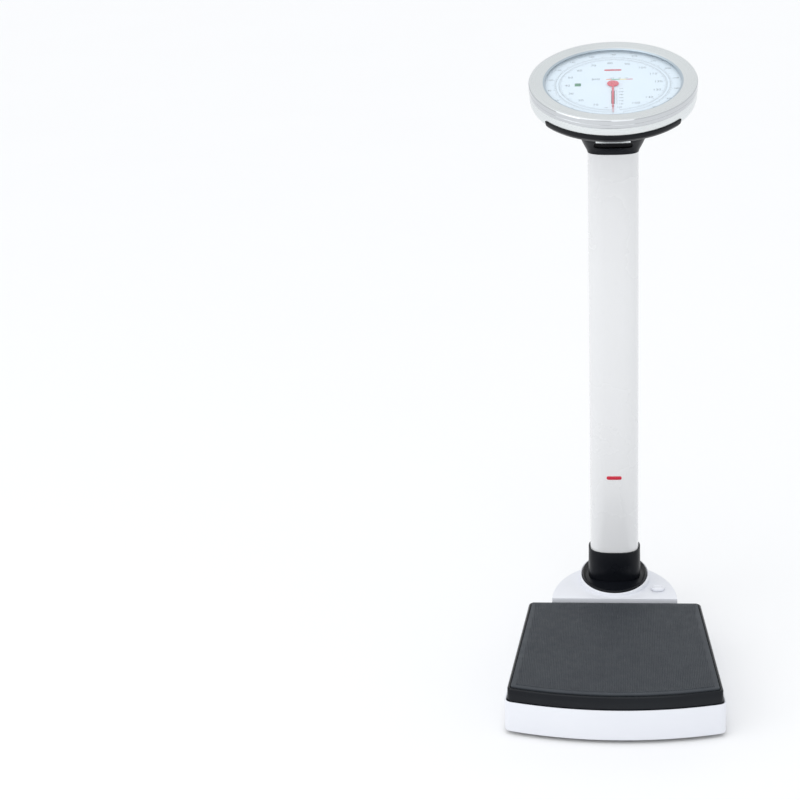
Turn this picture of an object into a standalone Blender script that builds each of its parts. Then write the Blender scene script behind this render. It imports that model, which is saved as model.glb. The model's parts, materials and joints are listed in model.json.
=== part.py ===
"""Mechanical dial column scale: a platform on two levers, a spring, and a rod up the column to a tilted dial."""

from math import asin, atan, cos, pi, radians, sin, tan

import bmesh
import bpy
from mathutils import Matrix, Vector

# Driving dimensions, in metres. +Z is up, the user stands at -Y, and the origin is on the floor.
FRONT_WIDTH = 0.338
REAR_WIDTH = 0.290
DEPTH = 0.522  # from the base's bowed front to the head's rear rim
HEIGHT = 0.975
FRONT_Y = -DEPTH / 2
BOW = 0.027  # how far the front bulges ahead of its corners
CORNER_RADIUS = 0.012
BASE_REAR_Y = 0.0776  # rear edge of the wide part, ahead of the lobe
COLUMN_Y = 0.161
GAP = 0.0003

# Base
FOOT_HEIGHT = 0.0055
HOUSING_Z = (0.006, 0.056)
WALL = 0.003
FLOOR_Z = (0.008, 0.010)
LOBE_HALF_WIDTH = 0.1033
LOBE_FRONT_Y = 0.0753
LOBE_REAR_Y = 0.241
LOBE_TOP_FRONT = 0.0838
LOBE_TOP_REAR = 0.0705
COVER_SLOPE = atan((LOBE_TOP_FRONT - LOBE_TOP_REAR) / (LOBE_REAR_Y - LOBE_FRONT_Y))
FOOT_PLACES = {"front_left": (-0.135, -0.210), "front_right": (0.135, -0.210),
               "rear_left": (-0.066, 0.170), "rear_right": (0.066, 0.170)}

# Platform
SKIRT_INSET = 0.0046
TRAY_Z = (0.0495, 0.0750)
TRAY_THICKNESS = 0.0025
MAT_INSET = 0.0100
MAT_TOP = 0.0800

# Levers: every point on a lever moves in proportion to its distance from the fulcrum
LONG_FULCRUM_Y = -0.200
LOAD_ARM = 0.0516
SHORT_FULCRUM_Y = 0.0520
LINK_Y = (LONG_FULCRUM_Y + SHORT_FULCRUM_Y) / 2
LONG_LEVER_Z = (0.0300, 0.0370)
SHORT_LEVER_Z = (0.0460, 0.0530)
KNIFE = 0.0055
LONG_HALF_SPAN = 0.115
SHORT_HALF_SPAN = 0.098
SPRING_Y = 0.115
SPRING_RADIUS = 0.0085
SPRING_WIRE = 0.0016
SPRING_TOP = 0.0715

# Zero adjuster: the knob's screw tips an arm over the spring
KNOB_PLACE = (0.072, 0.1165)
KNOB_LIFT = 0.0006
ARM_PIVOT_X = 0.036
ARM_Z = (SPRING_TOP + GAP, SPRING_TOP + 0.0030)
ARM_X = (-0.012, 0.084)
ARM_Y = (SPRING_Y - 0.017, SPRING_Y + 0.008)

# Column
COLUMN_HALF = (0.0400, 0.0300)
COLUMN_POWER = 2.7
COLUMN_Z = (0.060, 0.820)
COLUMN_WALL = 0.0025
COLLAR_TOP = 0.141
FLANGE_HALF = (0.0545, 0.076)
FLANGE_LEAD = -0.003  # the flange's centre is this far ahead of the column's
FLANGE_TILT = radians(5.5)  # its rim rises towards the rear, off the cover
FLANGE_SEAT = 0.0062  # height of the collar's seat over the front of the tilted rim
ROD_RADIUS = 0.002

# Head, in its own frame: origin at the centre of the bezel's rim, local +Z out of the dial
HEAD_RADIUS = 0.130
HEAD_TILT = radians(16.4)
BEZEL_CREST = (0.1262, 0.0026)
CREST_RISE = BEZEL_CREST[0] * sin(HEAD_TILT) + BEZEL_CREST[1] * cos(HEAD_TILT)
HEAD_CENTRE = Vector((0, COLUMN_Y - 0.031, HEIGHT - CREST_RISE))
GLASS_RADIUS = 0.1195
DIAL_RADIUS = 0.1225
LENS_Z = (-0.0030, -0.0011)
POINTER_Z = (-0.0047, -0.0040)
HUB_Z = (-0.0050, -0.0036)
DIAL_Z = (-0.0074, -0.0059)
BMI_DISC_Z = (-0.0095, -0.0085)
SLOT = (0.020, 0.063, 0.0051)  # nearest and farthest distance from the shaft, and width
POINTER_REACH = 0.0915
HUB_RADIUS = 0.0091
CASING_PROFILE = [(0.1290, -0.0123), (0.1290, -0.0240), (0.1275, -0.0305), (0.1230, -0.0365),
                  (0.1120, -0.0405), (0.0700, -0.0480), (0.0560, -0.0500)]
CASING_WALL = 0.0025
GRIP_HALF_ANGLE = radians(52)
NECK_BOLT_RADIUS = 0.048

# Movement: the rod pulls a bell crank, the crank draws a rack, the rack turns the pinion
PINION_TEETH = 13
MODULE = 0.0005
PINION_RADIUS = PINION_TEETH * MODULE / 2
RACK_Z = (-0.0330, -0.0270)
CRANK_PIVOT = Vector((0, COLUMN_Y + 0.0161, HEAD_CENTRE.z - 0.0425))
ROD_ARM = 0.0175
RACK_ARM = 0.0250
CRANK_SWING = 0.8  # the crank turns this far, and rests half of it before its middle
CRANK_X = 0.0065

FACETS = 40


def clear_scene():
    for thing in list(bpy.data.objects):
        bpy.data.objects.remove(thing, do_unlink=True)


def material(name, colour, roughness, metallic=0.0):
    made = bpy.data.materials.get(name)
    if made is None:
        made = bpy.data.materials.new(name)
        made.use_nodes = True
        shader = made.node_tree.nodes["Principled BSDF"]
        shader.inputs["Base Color"].default_value = (*colour, 1)
        shader.inputs["Roughness"].default_value = roughness
        shader.inputs["Metallic"].default_value = metallic
    return made


def white_plastic():
    return material("white_plastic", (0.80, 0.82, 0.86), 0.35)


def white_paint():
    return material("white_paint", (0.74, 0.75, 0.77), 0.30)


def black_plastic():
    return material("black_plastic", (0.020, 0.022, 0.025), 0.40)


def rubber():
    return material("rubber", (0.060, 0.066, 0.075), 0.75)


def satin_silver():
    return material("satin_silver", (0.62, 0.63, 0.62), 0.30, 1.0)


def steel():
    return material("steel", (0.48, 0.49, 0.50), 0.35, 1.0)


def brass():
    return material("brass", (0.62, 0.48, 0.22), 0.30, 1.0)


def glass():
    return material("glass", (0.85, 0.92, 0.95), 0.03)


def dial_enamel():
    return material("dial_enamel", (0.82, 0.87, 0.92), 0.45)


def red_enamel():
    return material("red_enamel", (0.68, 0.015, 0.06), 0.35)


def add(name, mesh, look, location=(0, 0, 0), tilt=0.0, smooth=True):
    """Turns a bmesh into a named object at its place, turned by tilt about X."""
    bmesh.ops.recalc_face_normals(mesh, faces=mesh.faces)
    data = bpy.data.meshes.new(name)
    mesh.to_mesh(data)
    mesh.free()
    if smooth:
        data.shade_smooth()
        data.set_sharp_from_angle(angle=radians(35))
    data.materials.append(look)
    made = bpy.data.objects.new(name, data)
    made.location = location
    made.rotation_euler = (tilt, 0, 0)
    bpy.context.scene.collection.objects.link(made)
    return made


def in_head(name, mesh, look):
    return add(name, mesh, look, HEAD_CENTRE, HEAD_TILT)


def change(target, other, operation):
    """A Boolean with a helper object that isn't part of the product."""
    other.hide_render = True
    other.display_type = "WIRE"
    step = target.modifiers.new(other.name, "BOOLEAN")
    step.operation = operation
    step.object = other
    step.solver = "EXACT"


def cut(target, mesh, location=(0, 0, 0), tilt=0.0):
    number = len(target.modifiers)
    change(target, add(f"{target.name}_cutter{number}", mesh, steel(), location, tilt), "DIFFERENCE")


def join(target, mesh, location=(0, 0, 0), tilt=0.0):
    number = len(target.modifiers)
    change(target, add(f"{target.name}_joined{number}", mesh, steel(), location, tilt), "UNION")


def prism(outline, bottom, top):
    """A closed prism over a plan outline. bottom and top are heights, or functions of a plan point."""
    mesh = bmesh.new()
    rings = []
    for level in (bottom, top):
        height = level if callable(level) else lambda x, y, level=level: level
        rings.append([mesh.verts.new((x, y, height(x, y))) for x, y in outline])
    mesh.faces.new(rings[0])
    mesh.faces.new(rings[1])
    side_faces(mesh, rings[0], rings[1])
    return mesh


def side_faces(mesh, first, second):
    count = len(first)
    for i in range(count):
        j = (i + 1) % count
        mesh.faces.new((first[i], first[j], second[j], second[i]))


def loft(rings, closed_tube=False):
    """Joins rings of equal length. An open run is capped; a closed tube joins its last ring to its first."""
    mesh = bmesh.new()
    made = [[mesh.verts.new(point) for point in ring] for ring in rings]
    for first, second in zip(made, made[1:]):
        side_faces(mesh, first, second)
    if closed_tube:
        side_faces(mesh, made[-1], made[0])
    else:
        mesh.faces.new(made[0])
        mesh.faces.new(made[-1])
    return mesh


def box(low, high):
    outline = [(low[0], low[1]), (high[0], low[1]), (high[0], high[1]), (low[0], high[1])]
    return prism(outline, low[2], high[2])


def circle(radius, count=FACETS, centre=(0, 0)):
    return [(centre[0] + radius * cos(2 * pi * i / count), centre[1] + radius * sin(2 * pi * i / count))
            for i in range(count)]


def disc(radius, bottom, top, count=FACETS, centre=(0, 0)):
    return prism(circle(radius, count, centre), bottom, top)


def turned_ring(profile, count=FACETS):
    """A closed profile of (radius, height) points, none on the axis, turned right round Z."""
    rings = [[(r * cos(a), r * sin(a), z) for a in (2 * pi * i / count for i in range(count))]
             for r, z in profile]
    return loft(rings, closed_tube=True)


def turned_arc(profile, start, end, count):
    """The same profile swept through part of a turn, with flat ends."""
    angles = [start + (end - start) * i / count for i in range(count + 1)]
    return loft([[(r * cos(a), r * sin(a), z) for r, z in profile] for a in angles])


def superellipse(half, centre_y=0.0, power=COLUMN_POWER, count=FACETS):
    """A rounded oval plan with the given half width and half depth."""
    points = []
    for i in range(count):
        a = 2 * pi * i / count
        c, s = cos(a), sin(a)
        reach = (abs(c / half[0]) ** power + abs(s / half[1]) ** power) ** (-1 / power)
        points.append((reach * c, centre_y + reach * s))
    return points


def fillet(before, corner, after, radius, count=4):
    """The arc that rounds one corner of an outline."""
    before, corner, after = Vector(before), Vector(corner), Vector(after)
    to_before, to_after = (before - corner).normalized(), (after - corner).normalized()
    half = to_before.angle(to_after) / 2
    centre = corner + (to_before + to_after).normalized() * radius / sin(half)
    start = corner + to_before * radius / tan(half) - centre
    end = corner + to_after * radius / tan(half) - centre
    turn = start.angle_signed(end)
    return [tuple(centre + Matrix.Rotation(-turn * i / count, 2) @ start) for i in range(count + 1)]


def offset(outline, distance):
    """The outline moved inwards by distance. It runs anticlockwise."""
    moved = []
    for i, point in enumerate(outline):
        before, here, after = Vector(outline[i - 1]), Vector(point), Vector(outline[(i + 1) % len(outline)])
        first, second = (here - before).normalized(), (after - here).normalized()
        normals = Vector((-first.y, first.x)), Vector((-second.y, second.x))
        both = (normals[0] + normals[1]) / (1 + normals[0].dot(normals[1]))
        moved.append(tuple(here + both * distance))
    return moved


def front_bow():
    """The front edge from the left corner to the right one, bulging towards -Y, without its end points."""
    half = FRONT_WIDTH / 2
    radius = (half ** 2 + BOW ** 2) / (2 * BOW)
    reach = asin(half / radius)
    count = 14
    angles = [-reach + 2 * reach * i / count for i in range(1, count)]
    return [(radius * sin(a), FRONT_Y + radius * (1 - cos(a))) for a in angles]


def lobe_arc(count=26):
    """The rear lobe's half ellipse, from its right end round the back to its left end."""
    reach = LOBE_REAR_Y - LOBE_FRONT_Y
    return [(LOBE_HALF_WIDTH * cos(pi * i / count), LOBE_FRONT_Y + reach * sin(pi * i / count))
            for i in range(count + 1)]


def plate_outline(with_lobe):
    """The base in plan, anticlockwise: a bowed front, sides that close towards the rear, and the lobe."""
    front_y = FRONT_Y + BOW
    left_front, right_front = (-FRONT_WIDTH / 2, front_y), (FRONT_WIDTH / 2, front_y)
    right_rear, left_rear = (REAR_WIDTH / 2, BASE_REAR_Y), (-REAR_WIDTH / 2, BASE_REAR_Y)
    bow = front_bow()
    points = fillet(left_rear, left_front, bow[0], CORNER_RADIUS) + bow
    points += fillet(bow[-1], right_front, right_rear, CORNER_RADIUS)
    points += fillet(right_front, right_rear, left_rear, CORNER_RADIUS)
    if with_lobe:
        behind = BASE_REAR_Y - LOBE_FRONT_Y
        points += [(x, y) for x, y in lobe_arc() if y > LOBE_FRONT_Y + behind + 0.004]
    points += fillet(right_rear, left_rear, left_front, CORNER_RADIUS)
    return points


def cover_top(x, y):
    return LOBE_TOP_FRONT - (y - LOBE_FRONT_Y) * tan(COVER_SLOPE)


def make_base():
    outline = plate_outline(with_lobe=True)
    housing = add("base_housing", prism(outline, *HOUSING_Z), white_plastic())
    cut(housing, prism(offset(outline, WALL), HOUSING_Z[0] - 0.01, HOUSING_Z[1] + 0.01))
    floor = add("bottom_plate", prism(offset(outline, WALL + GAP), *FLOOR_Z), steel())
    for x, y in FOOT_PLACES.values():
        cut(floor, disc(0.0045, FLOOR_Z[0] - 0.01, FLOOR_Z[1] + 0.01, 16, (x, y)))
    for name, (x, y) in FOOT_PLACES.items():
        make_foot(name, x, y)


def make_foot(name, x, y):
    """A rubber-soled levelling foot on a stem that screws up through the bottom plate."""
    profile = [(0.0130, 0), (0.0145, 0.0015), (0.0145, 0.0040), (0.0110, FOOT_HEIGHT),
               (0.0040, FOOT_HEIGHT), (0.0040, 0.0205)]
    mesh = loft([[(r * cos(a), r * sin(a), z) for a in (2 * pi * i / 24 for i in range(24))]
                 for r, z in profile])
    add(f"levelling_foot_{name}", mesh, rubber(), (x, y, 0))


def cover_frame(x, y, lift):
    """A place on the sloping cover, raised off it."""
    return Vector((x, y, cover_top(x, y))) + Vector((0, sin(COVER_SLOPE), cos(COVER_SLOPE))) * lift


def make_rear_cover():
    outline = lobe_arc()
    cover = add("rear_cover", prism(outline, HOUSING_Z[1] + GAP, cover_top), white_plastic())
    cut(cover, prism(offset(outline, WALL), HOUSING_Z[1] - 0.01, lambda x, y: cover_top(x, y) - WALL))
    cut(cover, prism(superellipse((0.0435, 0.0335), COLUMN_Y), 0.05, 0.12))
    place = cover_frame(*KNOB_PLACE, 0)
    cut(cover, disc(0.0045, -0.01, 0.01, 16), place, -COVER_SLOPE)


def rim_rise(y):
    """How far the tilted rim stands off the cover at this distance behind the flange's centre."""
    return (y + FLANGE_HALF[1]) * tan(FLANGE_TILT)


def make_flange():
    """A dished ring around the column: it lies on the sloping cover and its raised rim tilts up to the rear."""
    levels = [(1.0, 0.0060), (0.975, 0.0072), (0.945, 0.0066), (0.90, 0.0028)]
    rim = superellipse(FLANGE_HALF, power=2)
    rings = [[(x, y, 0) for x, y in rim]]
    rings += [[(x * s, y * s, z + rim_rise(y * s)) for x, y in rim] for s, z in levels]
    hole = superellipse((COLUMN_HALF[0] + 0.0025, COLUMN_HALF[1] + 0.0040), FLANGE_LEAD / cos(COVER_SLOPE))
    rings.append([(x, y, FLANGE_SEAT + rim_rise(y)) for x, y in hole])
    rings.append([(x, y, 0) for x, y in hole])
    add("flange_ring", loft(rings, closed_tube=True), black_plastic(),
        cover_frame(0, COLUMN_Y - FLANGE_LEAD, GAP), -COVER_SLOPE)


def make_column():
    outer = superellipse(COLUMN_HALF, COLUMN_Y)
    tube = add("column_tube", prism(outer, *COLUMN_Z), white_paint())
    cut(tube, prism(offset(outer, COLUMN_WALL), COLUMN_Z[0] - 0.01, COLUMN_Z[1] + 0.01))
    inside = [superellipse((COLUMN_HALF[0] + GAP, COLUMN_HALF[1] + GAP), COLUMN_Y)] * 2
    outside = [superellipse((COLUMN_HALF[0] + w, COLUMN_HALF[1] + w), COLUMN_Y) for w in (0.0042, 0.0031)]

    def foot(x, y):
        seat = FLANGE_SEAT + rim_rise((y - COLUMN_Y + FLANGE_LEAD) / cos(COVER_SLOPE))
        return cover_top(x, y) + seat / cos(COVER_SLOPE) + 2 * GAP

    rings = [[(x, y, foot(x, y)) for x, y in inside[0]], [(x, y, foot(x, y)) for x, y in outside[0]],
             [(x, y, COLLAR_TOP) for x, y in outside[1]], [(x, y, COLLAR_TOP) for x, y in inside[1]]]
    add("column_collar", loft(rings, closed_tube=True), black_plastic())


def make_column_socket():
    """A steel bridge over the lever's tongue, with a spigot that the column stands on."""
    legs = [(-0.047, FLOOR_Z[1] + GAP), (-0.040, FLOOR_Z[1] + GAP), (-0.040, 0.0540), (0.040, 0.0540),
            (0.040, FLOOR_Z[1] + GAP), (0.047, FLOOR_Z[1] + GAP), (0.047, 0.0597), (-0.047, 0.0597)]
    rings = [[(x, y, z) for x, z in legs] for y in (COLUMN_Y - 0.024, COLUMN_Y + 0.024)]
    socket = add("column_socket", loft(rings), steel())
    half = (COLUMN_HALF[0] - COLUMN_WALL - 0.0005, COLUMN_HALF[1] - COLUMN_WALL - 0.0005)
    join(socket, prism(superellipse(half, COLUMN_Y), 0.0560, 0.1200))
    cut(socket, prism(superellipse((half[0] - 0.004, half[1] - 0.004), COLUMN_Y), 0.04, 0.13))


def make_platform():
    outline = plate_outline(with_lobe=False)
    skirt = offset(outline, SKIRT_INSET)
    tray = add("platform_tray", prism(skirt, *TRAY_Z), black_plastic())
    cut(tray, prism(offset(skirt, 0.002), TRAY_Z[0] - 0.01, TRAY_Z[1] - TRAY_THICKNESS))
    add("platform_mat", prism(offset(outline, MAT_INSET), TRAY_Z[1] + GAP, MAT_TOP), rubber())
    for side, x in (("left", -1), ("right", 1)):
        long_top, short_top = LONG_LEVER_Z[1] + GAP + KNIFE, SHORT_LEVER_Z[1] + GAP + KNIFE
        make_bearing(f"platform_bearing_front_{side}", x * 0.0930, LONG_FULCRUM_Y + LOAD_ARM, long_top)
        make_bearing(f"platform_bearing_rear_{side}", x * 0.0860, SHORT_FULCRUM_Y - LOAD_ARM, short_top)


def make_bearing(name, x, y, edge):
    """A post under the tray whose notched foot sits on a knife edge."""
    top = TRAY_Z[1] - TRAY_THICKNESS - GAP
    section = [(-0.006, edge - 0.0025), (-0.0035, edge - 0.0025), (0, edge + 0.0010), (0.0035, edge - 0.0025),
               (0.006, edge - 0.0025), (0.006, top), (-0.006, top)]
    rings = [[(x + dx, y + dy, z) for dy, z in section] for dx in (-0.007, 0.007)]
    add(name, loft(rings), steel(), smooth=False)


def knife_edge(name, x_range, y, base, upwards):
    """A three-sided bar whose edge points up or down."""
    tip = base + (KNIFE if upwards else -KNIFE)
    rings = [[(x, y - 0.0030, base), (x, y + 0.0030, base), (x, y, tip)] for x in x_range]
    add(name, loft(rings), steel(), smooth=False)


def make_levers():
    tongue_y = COLUMN_Y + 0.008
    long_outline = [(-LONG_HALF_SPAN, LONG_FULCRUM_Y - 0.008), (LONG_HALF_SPAN, LONG_FULCRUM_Y - 0.008),
                    (LONG_HALF_SPAN - 0.012, LONG_FULCRUM_Y + LOAD_ARM + 0.014), (0.013, SPRING_Y - 0.017),
                    (0.011, tongue_y), (-0.011, tongue_y), (-0.013, SPRING_Y - 0.017),
                    (-LONG_HALF_SPAN + 0.012, LONG_FULCRUM_Y + LOAD_ARM + 0.014)]
    lever = add("long_lever", prism(long_outline, *LONG_LEVER_Z), steel(), smooth=False)
    z_range = (LONG_LEVER_Z[0] - 0.01, LONG_LEVER_Z[1] + 0.01)
    near, bar = LONG_FULCRUM_Y + 0.008, LINK_Y
    cut(lever, prism([(-0.082, near), (0.082, near), (0.050, bar - 0.008), (-0.050, bar - 0.008)], *z_range))
    cut(lever, prism([(-0.044, bar + 0.008), (0.044, bar + 0.008), (0.008, 0.068), (-0.008, 0.068)], *z_range))
    cut(lever, disc(0.0032, *z_range, 16, (0, COLUMN_Y)))

    rear_y = SHORT_FULCRUM_Y + 0.008
    short_outline = [(-0.012, LINK_Y - 0.009), (0.012, LINK_Y - 0.009),
                     (SHORT_HALF_SPAN, SHORT_FULCRUM_Y - LOAD_ARM - 0.012), (SHORT_HALF_SPAN, rear_y),
                     (-SHORT_HALF_SPAN, rear_y), (-SHORT_HALF_SPAN, SHORT_FULCRUM_Y - LOAD_ARM - 0.012)]
    short = add("short_lever", prism(short_outline, *SHORT_LEVER_Z), steel(), smooth=False)
    window = [(-0.020, LINK_Y + 0.022), (0.020, LINK_Y + 0.022), (0.070, -0.010), (0.070, rear_y - 0.018),
              (-0.070, rear_y - 0.018), (-0.070, -0.010)]
    cut(short, prism(window, SHORT_LEVER_Z[0] - 0.01, SHORT_LEVER_Z[1] + 0.01))

    span = (-0.110, 0.110)
    knife_edge("long_lever_fulcrum_edge", span, LONG_FULCRUM_Y, LONG_LEVER_Z[0] - GAP, False)
    knife_edge("short_lever_fulcrum_edge", (-0.094, 0.094), SHORT_FULCRUM_Y, SHORT_LEVER_Z[0] - GAP, False)
    for side, x in (("left", -1), ("right", 1)):
        ends = sorted((x * 0.0850, x * 0.1005))
        knife_edge(f"long_lever_load_edge_{side}", ends, LONG_FULCRUM_Y + LOAD_ARM,
                   LONG_LEVER_Z[1] + GAP, True)
        ends = sorted((x * 0.0780, x * 0.0940))
        knife_edge(f"short_lever_load_edge_{side}", ends, SHORT_FULCRUM_Y - LOAD_ARM,
                   SHORT_LEVER_Z[1] + GAP, True)
        make_fulcrum_stand(f"front_fulcrum_stand_{side}", x * 0.104, LONG_FULCRUM_Y, LONG_LEVER_Z[0])
        make_fulcrum_stand(f"rear_fulcrum_stand_{side}", x * 0.086, SHORT_FULCRUM_Y, SHORT_LEVER_Z[0])
    make_lever_link()


def make_fulcrum_stand(name, x, y, lever_underside):
    """A steel post on the bottom plate with a notch that carries a lever's knife edge."""
    tip = lever_underside - GAP - KNIFE
    bottom = FLOOR_Z[1] + GAP
    section = [(-0.009, bottom), (0.009, bottom), (0.006, tip + 0.0025), (0.0035, tip + 0.0025),
               (0, tip - 0.0010), (-0.0035, tip + 0.0025), (-0.006, tip + 0.0025)]
    rings = [[(x + dx, y + dy, z) for dy, z in section] for dx in (-0.005, 0.005)]
    add(name, loft(rings), steel(), smooth=False)


def make_lever_link():
    """The stud between the short lever's nose and the long lever's cross bar."""
    bottom, top = LONG_LEVER_Z[1] + GAP, SHORT_LEVER_Z[0] - 2 * GAP
    rings = [[(r * cos(a), LINK_Y + r * sin(a), z) for a in (2 * pi * i / 16 for i in range(16))]
             for r, z in ((0.0055, bottom), (0.0055, bottom + 0.0015), (0.0030, top))]
    add("lever_link", loft(rings), steel())


def make_spring():
    """The range spring: a helix with flat-wound ends, standing between the tongue and the zero arm."""
    low, high = LONG_LEVER_Z[1] + GAP + SPRING_WIRE, SPRING_TOP - SPRING_WIRE
    turns, steps = 6, 10
    rise, count = high - low, turns * steps
    centres = [Vector((SPRING_RADIUS * cos(2 * pi * i / steps), SPRING_RADIUS * sin(2 * pi * i / steps),
                       low + rise * i / count)) for i in range(count + 1)]
    rings = []
    for i, centre in enumerate(centres):
        a = 2 * pi * i / steps
        out = Vector((cos(a), sin(a), 0))
        along = Vector((-sin(a), cos(a), rise / turns / (2 * pi * SPRING_RADIUS)))
        up = out.cross(along.normalized()) * -1
        sides = [2 * pi * k / 6 for k in range(6)]
        rings.append([centre + SPRING_WIRE * (out * cos(b) + up * sin(b)) for b in sides])
    add("main_spring", loft(rings), steel(), (0, SPRING_Y, 0))


def make_zero_adjuster():
    mesh = box((ARM_X[0], ARM_Y[0], ARM_Z[0]), (ARM_X[1], ARM_Y[1], ARM_Z[1]))
    arm = add("zero_arm", mesh, steel(), smooth=False)
    cut(arm, disc(0.0050, 0, 0.1, 16, (KNOB_PLACE[0], KNOB_PLACE[1] - 0.0015)))
    low = FLOOR_Z[1] + GAP
    post = [(-0.010, low), (0.010, low), (0.010, low + 0.003), (0.003, low + 0.006), (0.003, ARM_Z[0] - 0.004),
            (0, ARM_Z[0] - GAP), (-0.003, ARM_Z[0] - 0.004), (-0.003, low + 0.006), (-0.010, low + 0.003)]
    rings = [[(ARM_PIVOT_X + dx, y, z) for dx, z in post] for y in (ARM_Y[0] + 0.002, ARM_Y[1] - 0.002)]
    add("zero_arm_post", loft(rings), steel(), smooth=False)
    place = cover_frame(*KNOB_PLACE, KNOB_LIFT)
    rounded = [(0.0110, 0), (0.0110, 0.0030), (0.0100, 0.0045), (0.0068, 0.0053)]
    knob = loft([[(r * cos(a), r * sin(a), z) for a in (2 * pi * i / 32 for i in range(32))] for r, z in rounded])
    add("zero_knob", knob, white_plastic(), place, -COVER_SLOPE)
    add("zero_screw", disc(0.0025, -0.024, -GAP, 16), steel(), place, -COVER_SLOPE)


def make_draw_rod():
    rest = -CRANK_SWING / 2
    top = CRANK_PIVOT.z - ROD_ARM * sin(rest)
    low = LONG_LEVER_Z[0] - 0.0012
    add("draw_rod", disc(ROD_RADIUS, low, top, 12), steel(), (0, COLUMN_Y, 0))
    nut = turned_ring([(ROD_RADIUS + GAP, low), (0.0050, low), (0.0050, low + 0.0009),
                       (ROD_RADIUS + GAP, low + 0.0009)], 12)
    add("draw_rod_nut", nut, steel(), (0, COLUMN_Y, 0))


def make_neck():
    """The black neck: it widens upwards from the column and ends on the head's sloping underside."""
    foot = COLUMN_Z[1] + GAP
    sizes = [(0.0406, 0.0303, 0, foot), (0.0428, 0.0312, 0, 0.8260), (0.0474, 0.0350, -0.0015, 0.8350),
             (0.0508, 0.0395, -0.0035, 0.8430), (0.0528, 0.0430, -0.0055, 0.8520), (0.0540, 0.0455, -0.0075, 0.8600)]
    rings = [[(x, y, z) for x, y in superellipse((a, b), COLUMN_Y + dy)] for a, b, dy, z in sizes]
    under = CASING_PROFILE[-1][1] - GAP

    def underside(y):
        return HEAD_CENTRE.z + (under + (y - HEAD_CENTRE.y) * sin(HEAD_TILT)) / cos(HEAD_TILT)

    rings.append([(x, y, underside(y)) for x, y in superellipse((0.0550, 0.0480), COLUMN_Y - 0.010)])
    neck = add("neck", loft(rings), black_plastic())
    cut(neck, prism(superellipse((0.014, 0.014), COLUMN_Y, 2), 0.80, 0.95))
    cut(neck, prism(superellipse((0.028, 0.031), COLUMN_Y + 0.001, 2), 0.8480, 0.95))
    recess = [(-0.030, 0.8335), (-0.027, 0.8310), (0.027, 0.8310), (0.030, 0.8335), (0.030, 0.8385),
              (0.027, 0.8410), (-0.027, 0.8410), (-0.030, 0.8385)]
    rings = [[(x, y, z) for x, z in recess] for y in (COLUMN_Y - 0.060, COLUMN_Y - 0.024)]
    cut(neck, loft(rings))


def inner_profile(profile, wall):
    """The profile moved inwards by the wall, from its first point to its last."""
    moved = []
    for i, point in enumerate(profile):
        before, after = Vector(profile[max(i - 1, 0)]), Vector(profile[min(i + 1, len(profile) - 1)])
        along = (after - before).normalized()
        moved.append((point[0] + along.y * wall, point[1] - along.x * wall))
    return moved


def make_casing():
    """A shallow bowl under the bezel, open in the middle where the neck joins it."""
    inner = inner_profile(CASING_PROFILE, CASING_WALL)
    inner[0] = (inner[0][0], CASING_PROFILE[0][1])
    inner[-1] = (CASING_PROFILE[-1][0], inner[-1][1])
    casing = in_head("head_casing", turned_ring(CASING_PROFILE + inner[::-1], 56), satin_silver())
    join(casing, disc(0.0600, -0.0500, -0.0478), HEAD_CENTRE, HEAD_TILT)
    cut(casing, prism(superellipse((0.022, 0.028), 0.022, 2), -0.06, -0.04), HEAD_CENTRE, HEAD_TILT)
    outside = CASING_PROFILE[1:5]
    back = inner_profile(outside, -GAP)
    front = inner_profile(outside, -0.0018)
    grip = turned_arc(back + front[::-1], -pi / 2 - GRIP_HALF_ANGLE, -pi / 2 + GRIP_HALF_ANGLE, 20)
    in_head("grip_crescent", grip, black_plastic())
    for name, angle in (("left", pi), ("front", -pi / 2), ("right", 0)):
        x, y = NECK_BOLT_RADIUS * cos(angle), NECK_BOLT_RADIUS * sin(angle)
        in_head(f"head_screw_{name}", disc(0.0035, -0.0475, -0.0450, 12, (x, y)), steel())


def make_bezel():
    profile = [(0.1300, -0.0004), (0.1300, -0.0120), (0.1272, -0.0120), (0.1272, -0.0008), (0.1060, -0.0008),
               (0.1048, -0.0004), (0.1080, 0.0009), (0.1095, 0.0013), BEZEL_CREST, (0.1288, 0.0016)]
    in_head("bezel", turned_ring(profile, 72), satin_silver())
    in_head("lens", disc(GLASS_RADIUS, *LENS_Z, 56), glass())
    low, high = DIAL_Z[1] + GAP, LENS_Z[0] - GAP
    ring = [(0.1100, low), (0.1245, low), (0.1245, high), (0.1100, high)]
    in_head("lens_gasket", turned_ring(ring, 48), rubber())


def make_dial():
    dial = in_head("dial_plate", disc(DIAL_RADIUS, *DIAL_Z, 56), dial_enamel())
    cut(dial, disc(0.0030, DIAL_Z[0] - 0.01, DIAL_Z[1] + 0.01, 16), HEAD_CENTRE, HEAD_TILT)
    near, far, width = SLOT
    cut(dial, box((-width / 2, -far, DIAL_Z[0] - 0.01), (width / 2, -near, DIAL_Z[1] + 0.01)),
        HEAD_CENTRE, HEAD_TILT)
    low, high = BMI_DISC_Z
    in_head("bmi_disc", turned_ring([(0.0018, low), (0.0660, low), (0.0660, high), (0.0018, high)], 48),
            dial_enamel())


def make_pointer():
    """A tapering blade, joined to a round hub, on the shaft above the dial."""
    blade = [(-0.0024, 0), (-0.0011, -POINTER_REACH * 0.80), (0, -POINTER_REACH), (0.0011, -POINTER_REACH * 0.80),
             (0.0024, 0)]
    pointer = in_head("pointer", prism(blade, *POINTER_Z), red_enamel())
    join(pointer, disc(HUB_RADIUS, *HUB_Z, 32), HEAD_CENTRE, HEAD_TILT)
    in_head("pointer_shaft", disc(0.0015, -0.0400, HUB_Z[0] - GAP, 16), steel())


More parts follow.
